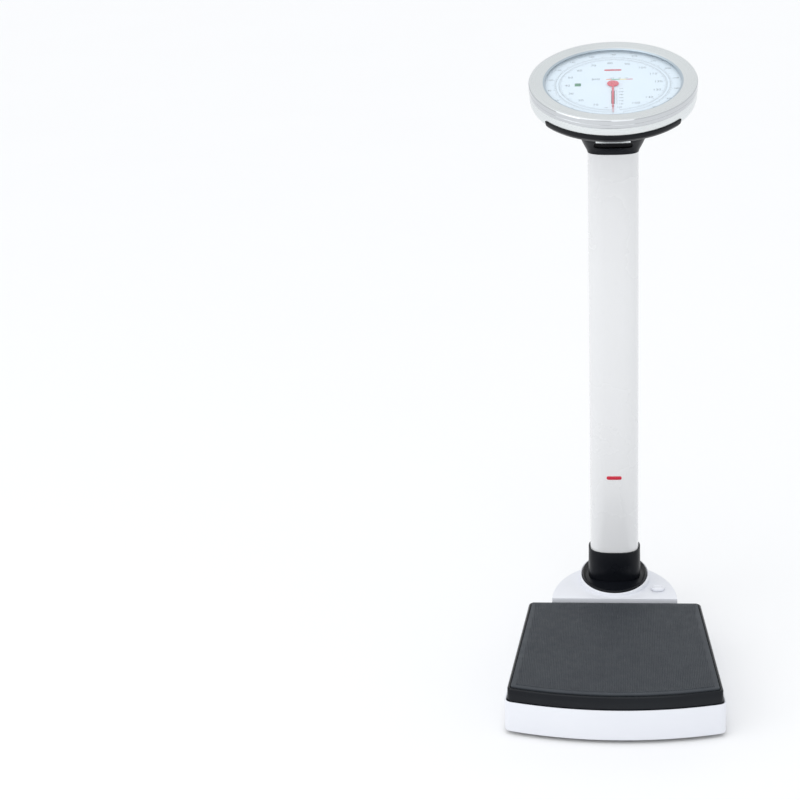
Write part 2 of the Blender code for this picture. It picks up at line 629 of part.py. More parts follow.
def make_gears():
    """The pinion on the pointer's shaft and the rack that turns it, with straight-sided teeth."""
    root, tip = PINION_RADIUS - 1.2 * MODULE, PINION_RADIUS + MODULE
    outline = []
    for tooth in range(PINION_TEETH):
        middle = 2 * pi * (tooth + 0.5) / PINION_TEETH
        pitch = 2 * pi / PINION_TEETH
        for share, radius in ((-0.30, root), (-0.12, tip), (0.12, tip), (0.30, root)):
            outline.append((radius * cos(middle + share * pitch), radius * sin(middle + share * pitch)))
    pinion = in_head("drive_pinion", prism(outline, *RACK_Z), brass())
    cut(pinion, disc(0.0018, RACK_Z[0] - 0.01, RACK_Z[1] + 0.01, 12), HEAD_CENTRE, HEAD_TILT)

    pitch = pi * MODULE
    face, valley = PINION_RADIUS - MODULE + 0.0006, PINION_RADIUS + 1.2 * MODULE + 0.0006
    side = [(0.0100, 0.0500), (0.0100, -0.0060), (valley, -0.0060)]
    start = -2 * pitch  # so that one tooth sits in the pinion's gap
    for tooth in range(20):
        middle = start + tooth * pitch
        side += [(valley, middle - 0.38 * pitch), (face, middle - 0.14 * pitch), (face, middle + 0.14 * pitch),
                 (valley, middle + 0.38 * pitch)]
    side.append((valley, 0.0500))
    rack = in_head("drive_rack", prism(side, *RACK_Z), brass())
    cut(rack, box((0, 0.0400, RACK_Z[0] - 0.01), (0.02, 0.0460, -0.0284)), HEAD_CENTRE, HEAD_TILT)


def make_gear_frame():
    """A bent plate over the movement: it carries the shaft's bush and the crank's two cheeks."""
    hat = [(-0.050, -0.0443), (-0.037, -0.0443), (-0.037, -0.0215), (0.037, -0.0215), (0.037, -0.0443),
           (0.050, -0.0443), (0.050, -0.0423), (0.039, -0.0423), (0.039, -0.0195), (-0.039, -0.0195),
           (-0.039, -0.0423), (-0.050, -0.0423)]
    rings = [[(x, y, z) for x, z in hat] for y in (-0.022, 0.048)]
    frame = in_head("gear_frame", loft(rings), steel())
    cut(frame, disc(0.0046, -0.03, -0.01, 16), HEAD_CENTRE, HEAD_TILT)
    bush = [(0.0018, -0.0225), (0.0043, -0.0225), (0.0043, -0.0192), (0.0062, -0.0192), (0.0062, -0.0182),
            (0.0018, -0.0182)]
    in_head("shaft_bush", turned_ring(bush, 16), brass())
    cheeks = [(-0.0150, -0.0620), (-0.0135, -0.0620), (-0.0135, -0.0238), (0.0135, -0.0238), (0.0135, -0.0620),
              (0.0150, -0.0620), (0.0150, -0.0218), (-0.0150, -0.0218)]
    rings = [[(x, y, z) for x, z in cheeks] for y in (0.0270, 0.0400)]
    bracket = in_head("crank_bracket", loft(rings), steel())
    rings = [[(x, *p) for p in circle(0.0019, 12)] for x in (-0.02, 0.02)]
    cut(bracket, loft(rings), CRANK_PIVOT)
    guide = [(0.0104, -0.0345), (0.0118, -0.0345), (0.0118, -0.0218), (-0.0020, -0.0218), (-0.0020, -0.0232),
             (0.0104, -0.0232)]
    rings = [[(x, y, z) for x, z in guide] for y in (0.0080, 0.0240)]
    in_head("rack_guide", loft(rings), steel())


def make_crank():
    """The bell crank in its own frame, its pivot at the origin: one arm to the rod, one to the rack."""
    rest = -CRANK_SWING / 2
    rod_angle, rack_angle = pi + rest, pi / 2 + HEAD_TILT + rest
    reaches = [(rod_angle, ROD_ARM), (rack_angle, RACK_ARM)]
    crank = None
    for angle, reach in reaches:
        along, across = Vector((cos(angle), sin(angle))), Vector((-sin(angle), cos(angle)))
        corners = [along * -0.003 - across * 0.0030, along * reach - across * 0.0010,
                   along * reach + across * 0.0010, along * -0.003 + across * 0.0030]
        arm = loft([[(x, p.x, p.y) for p in corners] for x in (CRANK_X - 0.0012, CRANK_X + 0.0012)])
        if crank is None:
            crank = add("bell_crank", arm, brass(), CRANK_PIVOT)
        else:
            join(crank, arm, CRANK_PIVOT)
    hub = loft([[(x, *p) for p in circle(0.0045, 24)] for x in (-0.0125, 0.0125)])
    join(crank, hub, CRANK_PIVOT)
    bore = loft([[(x, *p) for p in circle(0.0019, 12)] for x in (-0.02, 0.02)])
    cut(crank, bore, CRANK_PIVOT)
    pin = loft([[(x, *p) for p in circle(0.0015, 12)] for x in (-0.0165, 0.0165)])
    add("crank_pin", pin, steel(), CRANK_PIVOT)


clear_scene()
make_base()
make_rear_cover()
make_flange()
make_column()
make_column_socket()
make_platform()
make_levers()
make_spring()
make_zero_adjuster()
make_draw_rod()
make_neck()
make_casing()
make_bezel()
make_dial()
make_pointer()
make_gears()
make_gear_frame()
make_crank()
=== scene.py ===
import json
from math import asin, atan2, cos, pi, radians, sin, tan

import bmesh
import bpy
from mathutils import Matrix, Vector


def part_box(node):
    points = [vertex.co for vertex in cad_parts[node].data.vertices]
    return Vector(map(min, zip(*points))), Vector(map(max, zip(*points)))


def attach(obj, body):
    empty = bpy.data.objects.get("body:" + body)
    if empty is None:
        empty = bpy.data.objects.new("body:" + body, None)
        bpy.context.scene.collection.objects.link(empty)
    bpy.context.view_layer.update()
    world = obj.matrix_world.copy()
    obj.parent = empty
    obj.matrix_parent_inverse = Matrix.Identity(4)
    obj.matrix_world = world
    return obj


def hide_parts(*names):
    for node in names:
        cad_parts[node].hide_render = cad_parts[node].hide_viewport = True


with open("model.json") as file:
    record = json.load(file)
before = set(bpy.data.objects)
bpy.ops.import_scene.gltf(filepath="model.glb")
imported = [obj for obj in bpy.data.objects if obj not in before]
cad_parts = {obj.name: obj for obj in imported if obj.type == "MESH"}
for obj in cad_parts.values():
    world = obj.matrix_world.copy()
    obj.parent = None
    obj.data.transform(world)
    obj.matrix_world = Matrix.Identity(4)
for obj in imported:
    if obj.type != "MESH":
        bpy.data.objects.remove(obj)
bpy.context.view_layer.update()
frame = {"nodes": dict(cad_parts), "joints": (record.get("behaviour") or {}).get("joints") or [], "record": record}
nodes = frame["nodes"]
joints = {joint["name"]: joint for joint in frame["joints"]}
print("frame loaded:", len(nodes), "CAD nodes")

# Places that every piece is measured from
housingLow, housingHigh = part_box("base_housing")
coverLow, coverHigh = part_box("rear_cover")
trayLow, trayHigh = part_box("platform_tray")
matLow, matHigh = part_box("platform_mat")
tubeLow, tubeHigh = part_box("column_tube")
columnY = (tubeLow.y + tubeHigh.y) / 2
columnHalf = ((tubeHigh.x - tubeLow.x) / 2, (tubeHigh.y - tubeLow.y) / 2)
dialCentre = Vector(joints["pointer_turn"]["pos_m"])
headTilt = asin(joints["pointer_turn"]["axis"][1])
headPlace = Matrix.Translation(dialCentre) @ Matrix.Rotation(headTilt, 4, "X")  # +Z looks out of the dial
coverAxis = Vector(joints["zero_knob_turn"]["axis"])  # square to the sloping cover
coverTilt = -atan2(coverAxis.y, coverAxis.z)
knobPlace = Matrix.Translation(joints["zero_knob_turn"]["pos_m"]) @ Matrix.Rotation(coverTilt, 4, "X")


# Small tools for modelling
def clearPick():
    if bpy.context.mode != "OBJECT":
        bpy.ops.object.mode_set(mode="OBJECT")
    bpy.ops.object.select_all(action="DESELECT")


def only(piece):
    clearPick()
    piece.select_set(True)
    bpy.context.view_layer.objects.active = piece


def editAll(piece):
    only(piece)
    bpy.ops.object.mode_set(mode="EDIT")
    bpy.ops.mesh.select_mode(type="VERT")
    bpy.ops.mesh.select_all(action="SELECT")


def pickPart(piece, kind, wanted):
    # in edit mode: selects the vertices, edges or faces whose middle passes the test
    bpy.ops.mesh.select_mode(type=kind)
    bpy.ops.mesh.select_all(action="DESELECT")
    mesh = bmesh.from_edit_mesh(piece.data)
    parts = {"VERT": mesh.verts, "EDGE": mesh.edges, "FACE": mesh.faces}[kind]
    for part in parts:
        corners = [part] if kind == "VERT" else part.verts
        middle = sum((corner.co for corner in corners), Vector()) / len(corners)
        if wanted(middle, part):
            part.select_set(True)
    mesh.select_flush_mode()
    bmesh.update_edit_mesh(piece.data)


def drawOutline(name, points, fill="NGON"):
    # a circle whose vertices are put on the outline
    clearPick()
    bpy.ops.mesh.primitive_circle_add(vertices=len(points), radius=0.1, fill_type=fill)
    piece = bpy.context.object
    piece.name = piece.data.name = name
    for vertex, point in zip(piece.data.vertices, points):
        vertex.co = point
    return piece


def extrudeBy(shift):
    bpy.ops.mesh.extrude_region_move(TRANSFORM_OT_translate={"value": tuple(shift)})


def closeNormals():
    bpy.ops.mesh.select_all(action="SELECT")
    bpy.ops.mesh.remove_doubles(threshold=0.00001)
    bpy.ops.mesh.dissolve_degenerate(threshold=0.000001)
    bpy.ops.mesh.select_all(action="SELECT")
    bpy.ops.mesh.normals_make_consistent(inside=False)
    bpy.ops.object.mode_set(mode="OBJECT")


def extrudeOutline(name, points, shift):
    piece = drawOutline(name, points)
    editAll(piece)
    extrudeBy(shift)
    closeNormals()
    return piece


def addBlock(name, size, place):
    clearPick()
    bpy.ops.mesh.primitive_cube_add(size=1, location=place, scale=size)
    block = bpy.context.object
    block.name = name
    bpy.ops.object.transform_apply(location=True, rotation=True, scale=True)
    return block


def spinCopies(piece, count, angle):
    # copies of the piece, clockwise round Z
    editAll(piece)
    bpy.ops.mesh.spin(steps=count, angle=angle, center=(0, 0, 0), axis=(0, 0, 1), dupli=True)


def turnProfile(name, profile, steps=96, start=0.0, sweep=2 * pi):
    # a closed profile of (radius, height) points, spun round Z
    points = [(r * cos(start), r * sin(start), z) for r, z in profile]
    piece = drawOutline(name, points, "NOTHING")
    editAll(piece)
    whole = sweep > 6.28
    bpy.ops.mesh.spin(steps=steps, angle=sweep, center=(0, 0, 0), axis=(0, 0, -1))
    if not whole:  # flat ends
        bpy.ops.mesh.select_all(action="SELECT")
        bpy.ops.mesh.region_to_loop()
        bpy.ops.mesh.edge_face_add()
    closeNormals()
    return piece


def growRings(name, outline, levels, fill="NGON"):
    # the outline is scaled to the first level, and extruded from each level to the next
    wide, deep, midY, height = levels[0]
    piece = drawOutline(name, [(x * wide, midY + y * deep, height) for x, y in outline], fill)
    editAll(piece)
    for before, now in zip(levels, levels[1:]):
        extrudeBy((0, now[2] - before[2], now[3] - before[3]))
        bpy.ops.transform.resize(value=(now[0] / before[0], now[1] / before[1], 1),
                                 center_override=(0, now[2], now[3]))
    closeNormals()
    return piece


def applyModifier(piece, kind, **settings):
    only(piece)
    modifier = piece.modifiers.new(kind.lower(), kind)
    for key, value in settings.items():
        setattr(modifier, key, value)
    bpy.ops.object.modifier_apply(modifier=modifier.name)


def cutAway(piece, cutter):
    applyModifier(piece, "BOOLEAN", operation="DIFFERENCE", object=cutter, solver="EXACT")
    bpy.data.objects.remove(cutter)


def sliceOff(piece, point, normal, fill=True):
    # keeps what lies behind the plane
    editAll(piece)
    bpy.ops.mesh.bisect(plane_co=point, plane_no=normal, use_fill=fill, clear_outer=True)
    bpy.ops.object.mode_set(mode="OBJECT")


def softenEdges(piece, width, segments=3, angle=40):
    applyModifier(piece, "BEVEL", width=width, segments=segments, limit_method="ANGLE",
                  angle_limit=radians(angle), use_clamp_overlap=True)


def makeRibRing(rib):
    # the ribs that a knob or a foot is turned by
    block = addBlock("rib", rib["size"], rib["place"])
    softenEdges(block, rib["edge"], 1, 30)
    spinCopies(block, rib["count"], 2 * pi)
    bpy.ops.mesh.remove_doubles(threshold=0.00001)
    bpy.ops.object.mode_set(mode="OBJECT")
    return block


def thicken(piece, wall):
    applyModifier(piece, "SOLIDIFY", thickness=wall, offset=-1, use_even_offset=True)


def moveMesh(piece, place):
    piece.data.transform(place)
    piece.data.update()
    return piece


def joinPieces(name, parts):
    clearPick()
    for part in parts:
        part.select_set(True)
    bpy.context.view_layer.objects.active = parts[0]
    if len(parts) > 1:
        bpy.ops.object.join()
    parts[0].name = parts[0].data.name = name
    return parts[0]


def finishPiece(piece, body, slotName, *materials, replaced=(), smooth=32):
    only(piece)
    if smooth:
        bpy.ops.object.shade_smooth_by_angle(angle=radians(smooth))
    if materials:
        piece.data.materials.clear()
        for look in materials:
            piece.data.materials.append(look)
    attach(piece, body)
    if replaced:
        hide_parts(*replaced)
    return piece


# Outlines
def roundCorner(before, corner, after, radius, count=6):
    before, corner, after = Vector(before), Vector(corner), Vector(after)
    toBefore, toAfter = (before - corner).normalized(), (after - corner).normalized()
    half = toBefore.angle(toAfter) / 2
    centre = corner + (toBefore + toAfter).normalized() * radius / sin(half)
    start = corner + toBefore * radius / tan(half) - centre
    end = corner + toAfter * radius / tan(half) - centre
    turn = start.angle_signed(end)
    return [tuple(centre + Matrix.Rotation(-turn * i / count, 2) @ start) for i in range(count + 1)]


def softProfile(corners):
    # corners are (radius, height, rounding); a corner with no rounding stays sharp
    made = []
    for i, (r, z, rounding) in enumerate(corners):
        if rounding:
            after = corners[(i + 1) % len(corners)]
            made += roundCorner(corners[i - 1][:2], (r, z), after[:2], rounding, 5)
        else:
            made.append((r, z))
    return made


def insideOf(outline, distance):
    moved = []
    for i, point in enumerate(outline):
        before, here, after = Vector(outline[i - 1]), Vector(point), Vector(outline[(i + 1) % len(outline)])
        first, second = (here - before).normalized(), (after - here).normalized()
        normals = Vector((-first.y, first.x)), Vector((-second.y, second.x))
        both = (normals[0] + normals[1]) / (1 + normals[0].dot(normals[1]))
        moved.append(tuple(here + both * distance))
    return moved


def oval(power, count):
    # a rounded oval of half width 1 and half depth 1
    points = []
    for i in range(count):
        c, s = cos(2 * pi * i / count), sin(2 * pi * i / count)
        reach = (abs(c) ** power + abs(s) ** power) ** (-1 / power)
        points.append((reach * c, reach * s))
    return points


plate = {"frontHalf": 0.169, "bow": 0.027, "cornerRadius": 0.012, "rearHalf": 0.145, "rearY": 0.0776,
         "bowSteps": 30, "lobeHalf": 0.1033, "lobeFrontY": 0.0753, "lobeSteps": 60, "lobeGap": 0.004}
columnPower = 2.7


def lobeArc():
    reach = housingHigh.y - plate["lobeFrontY"]
    count = plate["lobeSteps"]
    return [(plate["lobeHalf"] * cos(pi * i / count), plate["lobeFrontY"] + reach * sin(pi * i / count))
            for i in range(count + 1)]


def plateOutline(withLobe):
    half, frontY, bow = plate["frontHalf"], housingLow.y, plate["bow"]
    radius = (half ** 2 + bow ** 2) / (2 * bow)
    reach, count = asin(half / radius), plate["bowSteps"]
    angles = [-reach + 2 * reach * i / count for i in range(1, count)]
    front = [(radius * sin(a), frontY + radius * (1 - cos(a))) for a in angles]
    leftFront, rightFront = (-half, frontY + bow), (half, frontY + bow)
    rightRear, leftRear = (plate["rearHalf"], plate["rearY"]), (-plate["rearHalf"], plate["rearY"])
    corner = plate["cornerRadius"]
    points = roundCorner(leftRear, leftFront, front[0], corner) + front
    points += roundCorner(front[-1], rightFront, rightRear, corner)
    points += roundCorner(rightFront, rightRear, leftRear, corner)
    if withLobe:
        points += [(x, y) for x, y in lobeArc() if y > plate["rearY"] + plate["lobeGap"]]
    points += roundCorner(rightRear, leftRear, leftFront, corner)
    return points


# Materials
def newMaterial(name, colour, roughness, **sockets):
    material = bpy.data.materials.new(name)
    material.use_nodes = True
    tree = material.node_tree
    shader = tree.nodes["Principled BSDF"]
    shader.inputs["Base Color"].default_value = (*colour, 1)
    shader.inputs["Roughness"].default_value = roughness
    for key, value in sockets.items():
        shader.inputs[key.replace("_", " ")].default_value = value
    return material, tree, shader


def addNode(tree, kind, inputs=None, **settings):
    node = tree.nodes.new(kind)
    for key, value in settings.items():
        setattr(node, key, value)
    for key, value in (inputs or {}).items():
        if isinstance(value, bpy.types.NodeSocket):
            tree.links.new(value, node.inputs[key])
        else:
            node.inputs[key].default_value = value
    return node


def objectCoords(tree):
    return addNode(tree, "ShaderNodeTexCoord").outputs["Object"]


def headCoords(tree):
    # the dial's own frame: its centre, with Z square to the dial
    coords = addNode(tree, "ShaderNodeTexCoord")
    place = {"Vector": coords.outputs["Object"], "Location": dialCentre, "Rotation": (headTilt, 0, 0)}
    return addNode(tree, "ShaderNodeMapping", place, vector_type="TEXTURE").outputs[0]


noiseSpan = (0.3, 0.7)  # the part of the noise's range that the looks use


def mottle(tree, shader, where, colour, other, scale):
    # two close colours, mixed by soft noise
    noise = addNode(tree, "ShaderNodeTexNoise", {"Vector": where, "Scale": scale, "Detail": 3.0})
    ramp = addNode(tree, "ShaderNodeValToRGB", {"Fac": noise.outputs["Fac"]})
    ramp.color_ramp.elements[0].position, ramp.color_ramp.elements[1].position = noiseSpan
    ramp.color_ramp.elements[0].color, ramp.color_ramp.elements[1].color = (*colour, 1), (*other, 1)
    tree.links.new(ramp.outputs["Color"], shader.inputs["Base Color"])


def varyRoughness(tree, shader, where, scale, low, high):
    noise = addNode(tree, "ShaderNodeTexNoise", {"Vector": where, "Scale": scale, "Detail": 4.0})
    near, far = noiseSpan
    limits = {"Value": noise.outputs["Fac"], "From Min": near, "From Max": far, "To Min": low, "To Max": high}
    tree.links.new(addNode(tree, "ShaderNodeMapRange", limits).outputs[0], shader.inputs["Roughness"])


def addBump(tree, shader, height, strength, distance):
    bump = addNode(tree, "ShaderNodeBump", {"Height": height, "Strength": strength, "Distance": distance})
    tree.links.new(bump.outputs[0], shader.inputs["Normal"])


def grainBump(tree, shader, where, scale, strength, distance):
    noise = addNode(tree, "ShaderNodeTexNoise", {"Vector": where, "Scale": scale, "Detail": 3.0})
    addBump(tree, shader, noise.outputs["Fac"], strength, distance)


finishes = {
    "whiteMoulding": {"colour": (0.80, 0.815, 0.86), "other": (0.775, 0.79, 0.84), "scale": 9,
                      "rough": (0.30, 0.40), "grain": (1400, 0.10, 0.0002), "sockets": {}},
    "columnEnamel": {"colour": (0.79, 0.795, 0.805), "other": (0.77, 0.775, 0.785), "scale": 5,
                     "rough": (0.22, 0.30), "grain": (260, 0.05, 0.0004), "sockets": {"Coat_Weight": 0.35}},
    "blackMoulding": {"colour": (0.004, 0.005, 0.007), "other": (0.006, 0.007, 0.010), "scale": 12,
                      "rough": (0.26, 0.38), "grain": (1800, 0.25, 0.0002),
                      "sockets": {"Specular_IOR_Level": 0.16}},
    "trayEnamel": {"colour": (0.004, 0.005, 0.008), "other": (0.006, 0.008, 0.011), "scale": 10,
                   "rough": (0.12, 0.20), "grain": (420, 0.06, 0.0003),
                   "sockets": {"Specular_IOR_Level": 0.24}},
    "matRubber": {"colour": (0.040, 0.046, 0.055), "other": (0.047, 0.054, 0.063), "scale": 30,
                  "rough": (0.50, 0.62), "grain": (1500, 0.30, 0.0003),
                  "sockets": {"Specular_IOR_Level": 0.30}},
    "footRubber": {"colour": (0.020, 0.020, 0.021), "other": (0.032, 0.032, 0.033), "scale": 60,
                   "rough": (0.60, 0.80), "grain": (2000, 0.40, 0.0003), "sockets": {}},
    "zincSteel": {"colour": (0.46, 0.47, 0.48), "other": (0.56, 0.56, 0.55), "scale": 70,
                  "rough": (0.28, 0.45), "grain": (900, 0.12, 0.0002), "sockets": {"Metallic": 1.0}},
    "springSteel": {"colour": (0.26, 0.27, 0.29), "other": (0.36, 0.36, 0.37), "scale": 160,
                    "rough": (0.25, 0.38), "grain": (1600, 0.10, 0.0001), "sockets": {"Metallic": 1.0}},
    "turnedBrass": {"colour": (0.62, 0.46, 0.20), "other": (0.70, 0.54, 0.27), "scale": 130,
                    "rough": (0.22, 0.34), "grain": (1500, 0.10, 0.0001), "sockets": {"Metallic": 1.0}},
    "pointerEnamel": {"colour": (0.66, 0.012, 0.050), "other": (0.74, 0.020, 0.065), "scale": 220,
                      "rough": (0.22, 0.32), "grain": (1600, 0.05, 0.0001), "sockets": {"Coat_Weight": 0.3}},
    "paleSpacer": {"colour": (0.46, 0.54, 0.61), "other": (0.50, 0.58, 0.65), "scale": 60,
                   "rough": (0.45, 0.55), "grain": (1500, 0.05, 0.0001), "sockets": {}},
    "dialEnamel": {"colour": (0.76, 0.85, 0.93), "other": (0.78, 0.865, 0.94), "scale": 30,
                   "rough": (0.42, 0.52), "grain": (900, 0.04, 0.0001), "sockets": {}},
}

# Each ink: its two colours, the scale of its mottling and its roughness
inkGrain = (2500, 0.05, 0.0001)
inks = {
    "printBlack": ((0.045, 0.050, 0.060), (0.065, 0.070, 0.080), 400, (0.40, 0.50)),
    "printRed": ((0.58, 0.012, 0.040), (0.64, 0.018, 0.050), 300, (0.32, 0.42)),
    "printOrange": ((0.78, 0.17, 0.02), (0.83, 0.20, 0.03), 300, (0.38, 0.46)),
    "printYellow": ((0.86, 0.62, 0.06), (0.90, 0.67, 0.09), 300, (0.38, 0.46)),
    "printGreen": ((0.010, 0.16, 0.055), (0.014, 0.20, 0.070), 300, (0.38, 0.46)),
    "legendGreen": ((0.02, 0.30, 0.08), (0.03, 0.34, 0.10), 300, (0.38, 0.46)),
}
for inkName, (colour, other, scale, rough) in inks.items():
    finishes[inkName] = {"colour": colour, "other": other, "scale": scale, "rough": rough, "grain": inkGrain,
                         "sockets": {}}


def makeFinish(name):
    settings = finishes[name]
    material, tree, shader = newMaterial(name, settings["colour"], 0.4, **settings["sockets"])
    where = objectCoords(tree)
    mottle(tree, shader, where, settings["colour"], settings["other"], settings["scale"])
    varyRoughness(tree, shader, where, settings["scale"] * 2.5, *settings["rough"])
    grainBump(tree, shader, where, *settings["grain"])
    return material


looks = {name: makeFinish(name) for name in finishes}

# the inner slope's colour is the satin metal darkened and tinted blue: painted shade and reflection
metal = {"satinColour": (0.77, 0.80, 0.805), "satinRough": (0.24, 0.34), "rimColour": (0.62, 0.64, 0.66),
         "slopeColour": (0.52, 0.60, 0.66),
         "rimRough": (0.05, 0.10), "brush": (1500, 0.10, 0.00015)}


def makeTurnedMetal(name, colour, rough):
    # fine rings round the dial, left by turning and polishing
    material, tree, shader = newMaterial(name, colour, 0.3, Metallic=1.0)
    split = addNode(tree, "ShaderNodeSeparateXYZ", {"Vector": headCoords(tree)})
    flat = addNode(tree, "ShaderNodeCombineXYZ", {"X": split.outputs["X"], "Y": split.outputs["Y"]})
    radius = addNode(tree, "ShaderNodeVectorMath", {0: flat.outputs[0]}, operation="LENGTH")
    rings = addNode(tree, "ShaderNodeCombineXYZ", {"X": radius.outputs["Value"], "Z": split.outputs["Z"]})
    scale, strength, distance = metal["brush"]
    varyRoughness(tree, shader, rings.outputs[0], scale / 3, *rough)
    grainBump(tree, shader, rings.outputs[0], scale, strength, distance)
    mottle(tree, shader, objectCoords(tree), colour, tuple(c * 0.96 for c in colour), 11)
    return material


looks["satinMetal"] = makeTurnedMetal("satinMetal", metal["satinColour"], metal["satinRough"])
looks["polishedMetal"] = makeTurnedMetal("polishedMetal", metal["rimColour"], metal["rimRough"])
# a darker bluish copy of the satin metal for the bezel's inner slope: painted shade and reflection
looks["slopeMetal"] = makeTurnedMetal("slopeMetal", metal["slopeColour"], metal["satinRough"])


def makeLensLook():
    material, tree, shader = newMaterial("lensGlass", (0.86, 0.95, 1.0), 0.03, Alpha=0.10, IOR=1.5)
    where = objectCoords(tree)
    varyRoughness(tree, shader, where, 35, 0.015, 0.045)
    grainBump(tree, shader, where, 120, 0.02, 0.0001)
    return material


looks["lensGlass"] = makeLensLook()

bmi = {"degreesPerKilo": 2.2046, "nearRadius": 0.01974, "farRadius": 0.06337, "nearHeight": 2.10,
       "farHeight": 1.20, "topIndex": 60,
       "bands": [(0, (0.012, 0.012, 0.014)), (15, (0.80, 0.22, 0.05)), (18.5, (0.010, 0.20, 0.085)),
                 (25, (0.80, 0.52, 0.08)), (30, (0.50, 0.010, 0.020))]}


def calculate(tree, operation, first, second):
    return addNode(tree, "ShaderNodeMath", {0: first, 1: second}, operation=operation).outputs[0]


def makeBmiLook():
    # the colour of weight over height squared: the angle gives the weight, the radius the height
    material, tree, shader = newMaterial("bmiDiscPrint", (0.5, 0.5, 0.5), 0.42)
    split = addNode(tree, "ShaderNodeSeparateXYZ", {"Vector": headCoords(tree)})
    angle = calculate(tree, "ARCTAN2", split.outputs["X"], calculate(tree, "MULTIPLY", split.outputs["Y"], -1.0))
    turned = calculate(tree, "FLOORED_MODULO", angle, 2 * pi)
    kilos = calculate(tree, "MULTIPLY", turned, 1 / radians(bmi["degreesPerKilo"]))
    flat = addNode(tree, "ShaderNodeCombineXYZ", {"X": split.outputs["X"], "Y": split.outputs["Y"]})
    radius = addNode(tree, "ShaderNodeVectorMath", {0: flat.outputs[0]}, operation="LENGTH")
    limits = {"Value": radius.outputs["Value"], "From Min": bmi["nearRadius"], "From Max": bmi["farRadius"],
              "To Min": bmi["nearHeight"], "To Max": bmi["farHeight"]}
    height = addNode(tree, "ShaderNodeMapRange", limits, clamp=False).outputs[0]
    index = calculate(tree, "DIVIDE", kilos, calculate(tree, "POWER", height, 2.0))
    share = calculate(tree, "MULTIPLY", index, 1 / bmi["topIndex"])
    ramp = addNode(tree, "ShaderNodeValToRGB", {"Fac": share})
    ramp.color_ramp.interpolation = "CONSTANT"
    elements = ramp.color_ramp.elements
    for i, (value, colour) in enumerate(bmi["bands"]):
        element = elements[i] if i < 2 else elements.new(value / bmi["topIndex"])
        element.position, element.color = value / bmi["topIndex"], (*colour, 1)
    tree.links.new(ramp.outputs["Color"], shader.inputs["Base Color"])
    varyRoughness(tree, shader, objectCoords(tree), 300, 0.40, 0.48)
    return material


looks["bmiDiscPrint"] = makeBmiLook()
print("materials made:", len(looks))


# Base and column
baseShell = {"wall": 0.003, "edge": 0.0014}


def makeBaseShell():
    outline = plateOutline(True)
    piece = drawOutline("baseShell", [(x, y, housingLow.z) for x, y in outline])
    editAll(piece)
    extrudeBy((0, 0, housingHigh.z - housingLow.z))
    pickPart(piece, "FACE", lambda middle, face: abs(face.normal.z) > 0.9)
    bpy.ops.mesh.delete(type="FACE")
    closeNormals()
    thicken(piece, baseShell["wall"])
    softenEdges(piece, baseShell["edge"], 3, 60)
    finishPiece(piece, "base", "white_housing", looks["whiteMoulding"], replaced=["base_housing"])


rearCover = {"wall": 0.003, "edge": 0.0018, "columnHole": (0.0435, 0.0335), "holeSpan": (0.05, 0.12),
             "screwHole": 0.0045, "screwSpan": (-0.01, 0.01), "tall": 0.06, "knobLift": 0.0006,
             "lipHalf": (0.0549, 0.0580), "lipDepth": (0.0764, 0.0797), "lipRise": 0.0046, "lipRoot": -0.0005}


def coverHeight(y):
    knob = knobPlace.translation - coverAxis * rearCover["knobLift"]
    return knob.z - (y - knob.y) * coverAxis.y / coverAxis.z


def makeCutter(outline, low, high):
    return extrudeOutline("cutter", [(x, y, low) for x, y in outline], (0, 0, high - low))


def scaledOval(half, middle, power=2, count=48):
    return [(middle[0] + x * half[0], middle[1] + y * half[1]) for x, y in oval(power, count)]


def makeRearCover():
    low = coverLow.z
    piece = drawOutline("rearCoverShell", [(x, y, low) for x, y in lobeArc()])
    editAll(piece)
    extrudeBy((0, 0, rearCover["tall"]))
    sliceOff(piece, (0, columnY, coverHeight(columnY)), coverAxis)
    editAll(piece)
    pickPart(piece, "FACE", lambda middle, face: face.normal.z < -0.9)
    bpy.ops.mesh.delete(type="FACE")
    bpy.ops.object.mode_set(mode="OBJECT")
    thicken(piece, rearCover["wall"])
    hole = scaledOval(rearCover["columnHole"], (0, columnY), columnPower, 72)
    cutAway(piece, makeCutter(hole, *rearCover["holeSpan"]))
    screwHole = scaledOval([rearCover["screwHole"]] * 2, (0, 0), 2, 32)
    cutAway(piece, moveMesh(makeCutter(screwHole, *rearCover["screwSpan"]), knobPlace))
    softenEdges(piece, rearCover["edge"], 4, 50)
    finishPiece(piece, "base", "white_housing", looks["whiteMoulding"], replaced=["rear_cover"])


def makeCoverLip():
    # a rounded white bead round the flange
    (innerWide, outerWide), (innerDeep, outerDeep) = rearCover["lipHalf"], rearCover["lipDepth"]
    rise, root = rearCover["lipRise"], rearCover["lipRoot"]
    middle = ((innerWide + outerWide) / 2, (innerDeep + outerDeep) / 2)
    quarter = (outerWide - innerWide) / 4
    levels = [(outerWide, outerDeep, 0, root), (outerWide, outerDeep, 0, rise * 0.55),
              (middle[0] + quarter, middle[1] + quarter, 0, rise * 0.93), (*middle, 0, rise),
              (middle[0] - quarter, middle[1] - quarter, 0, rise * 0.93),
              (innerWide, innerDeep, 0, rise * 0.55), (innerWide, innerDeep, 0, root),
              (outerWide, outerDeep, 0, root)]
    lip = growRings("coverLip", oval(2, 120), levels, "NOTHING")
    tiltRim(lip)
    moveMesh(lip, flangePlace())
    finishPiece(lip, "base", "white_housing", looks["whiteMoulding"], smooth=50)


flangeDish = {"half": (0.0545, 0.076), "hole": (0.0425, 0.0340), "lead": -0.003, "gap": 0.0003, "tilt": 5.5,
              "seat": 0.0062, "levels": [(1.0, 0), (1.0, 0.0052), (0.992, 0.0064), (0.975, 0.0072),
                                         (0.957, 0.0069), (0.94, 0.0058), (0.922, 0.0044), (0.90, 0.0032),
                                         (0.87, 0.0034)]}


def flangePlace():
    # the flange's own frame, on the sloping cover
    centreY = columnY - flangeDish["lead"]
    spot = Vector((0, centreY, coverHeight(centreY))) + coverAxis * flangeDish["gap"]
    return Matrix.Translation(spot) @ Matrix.Rotation(coverTilt, 4, "X")


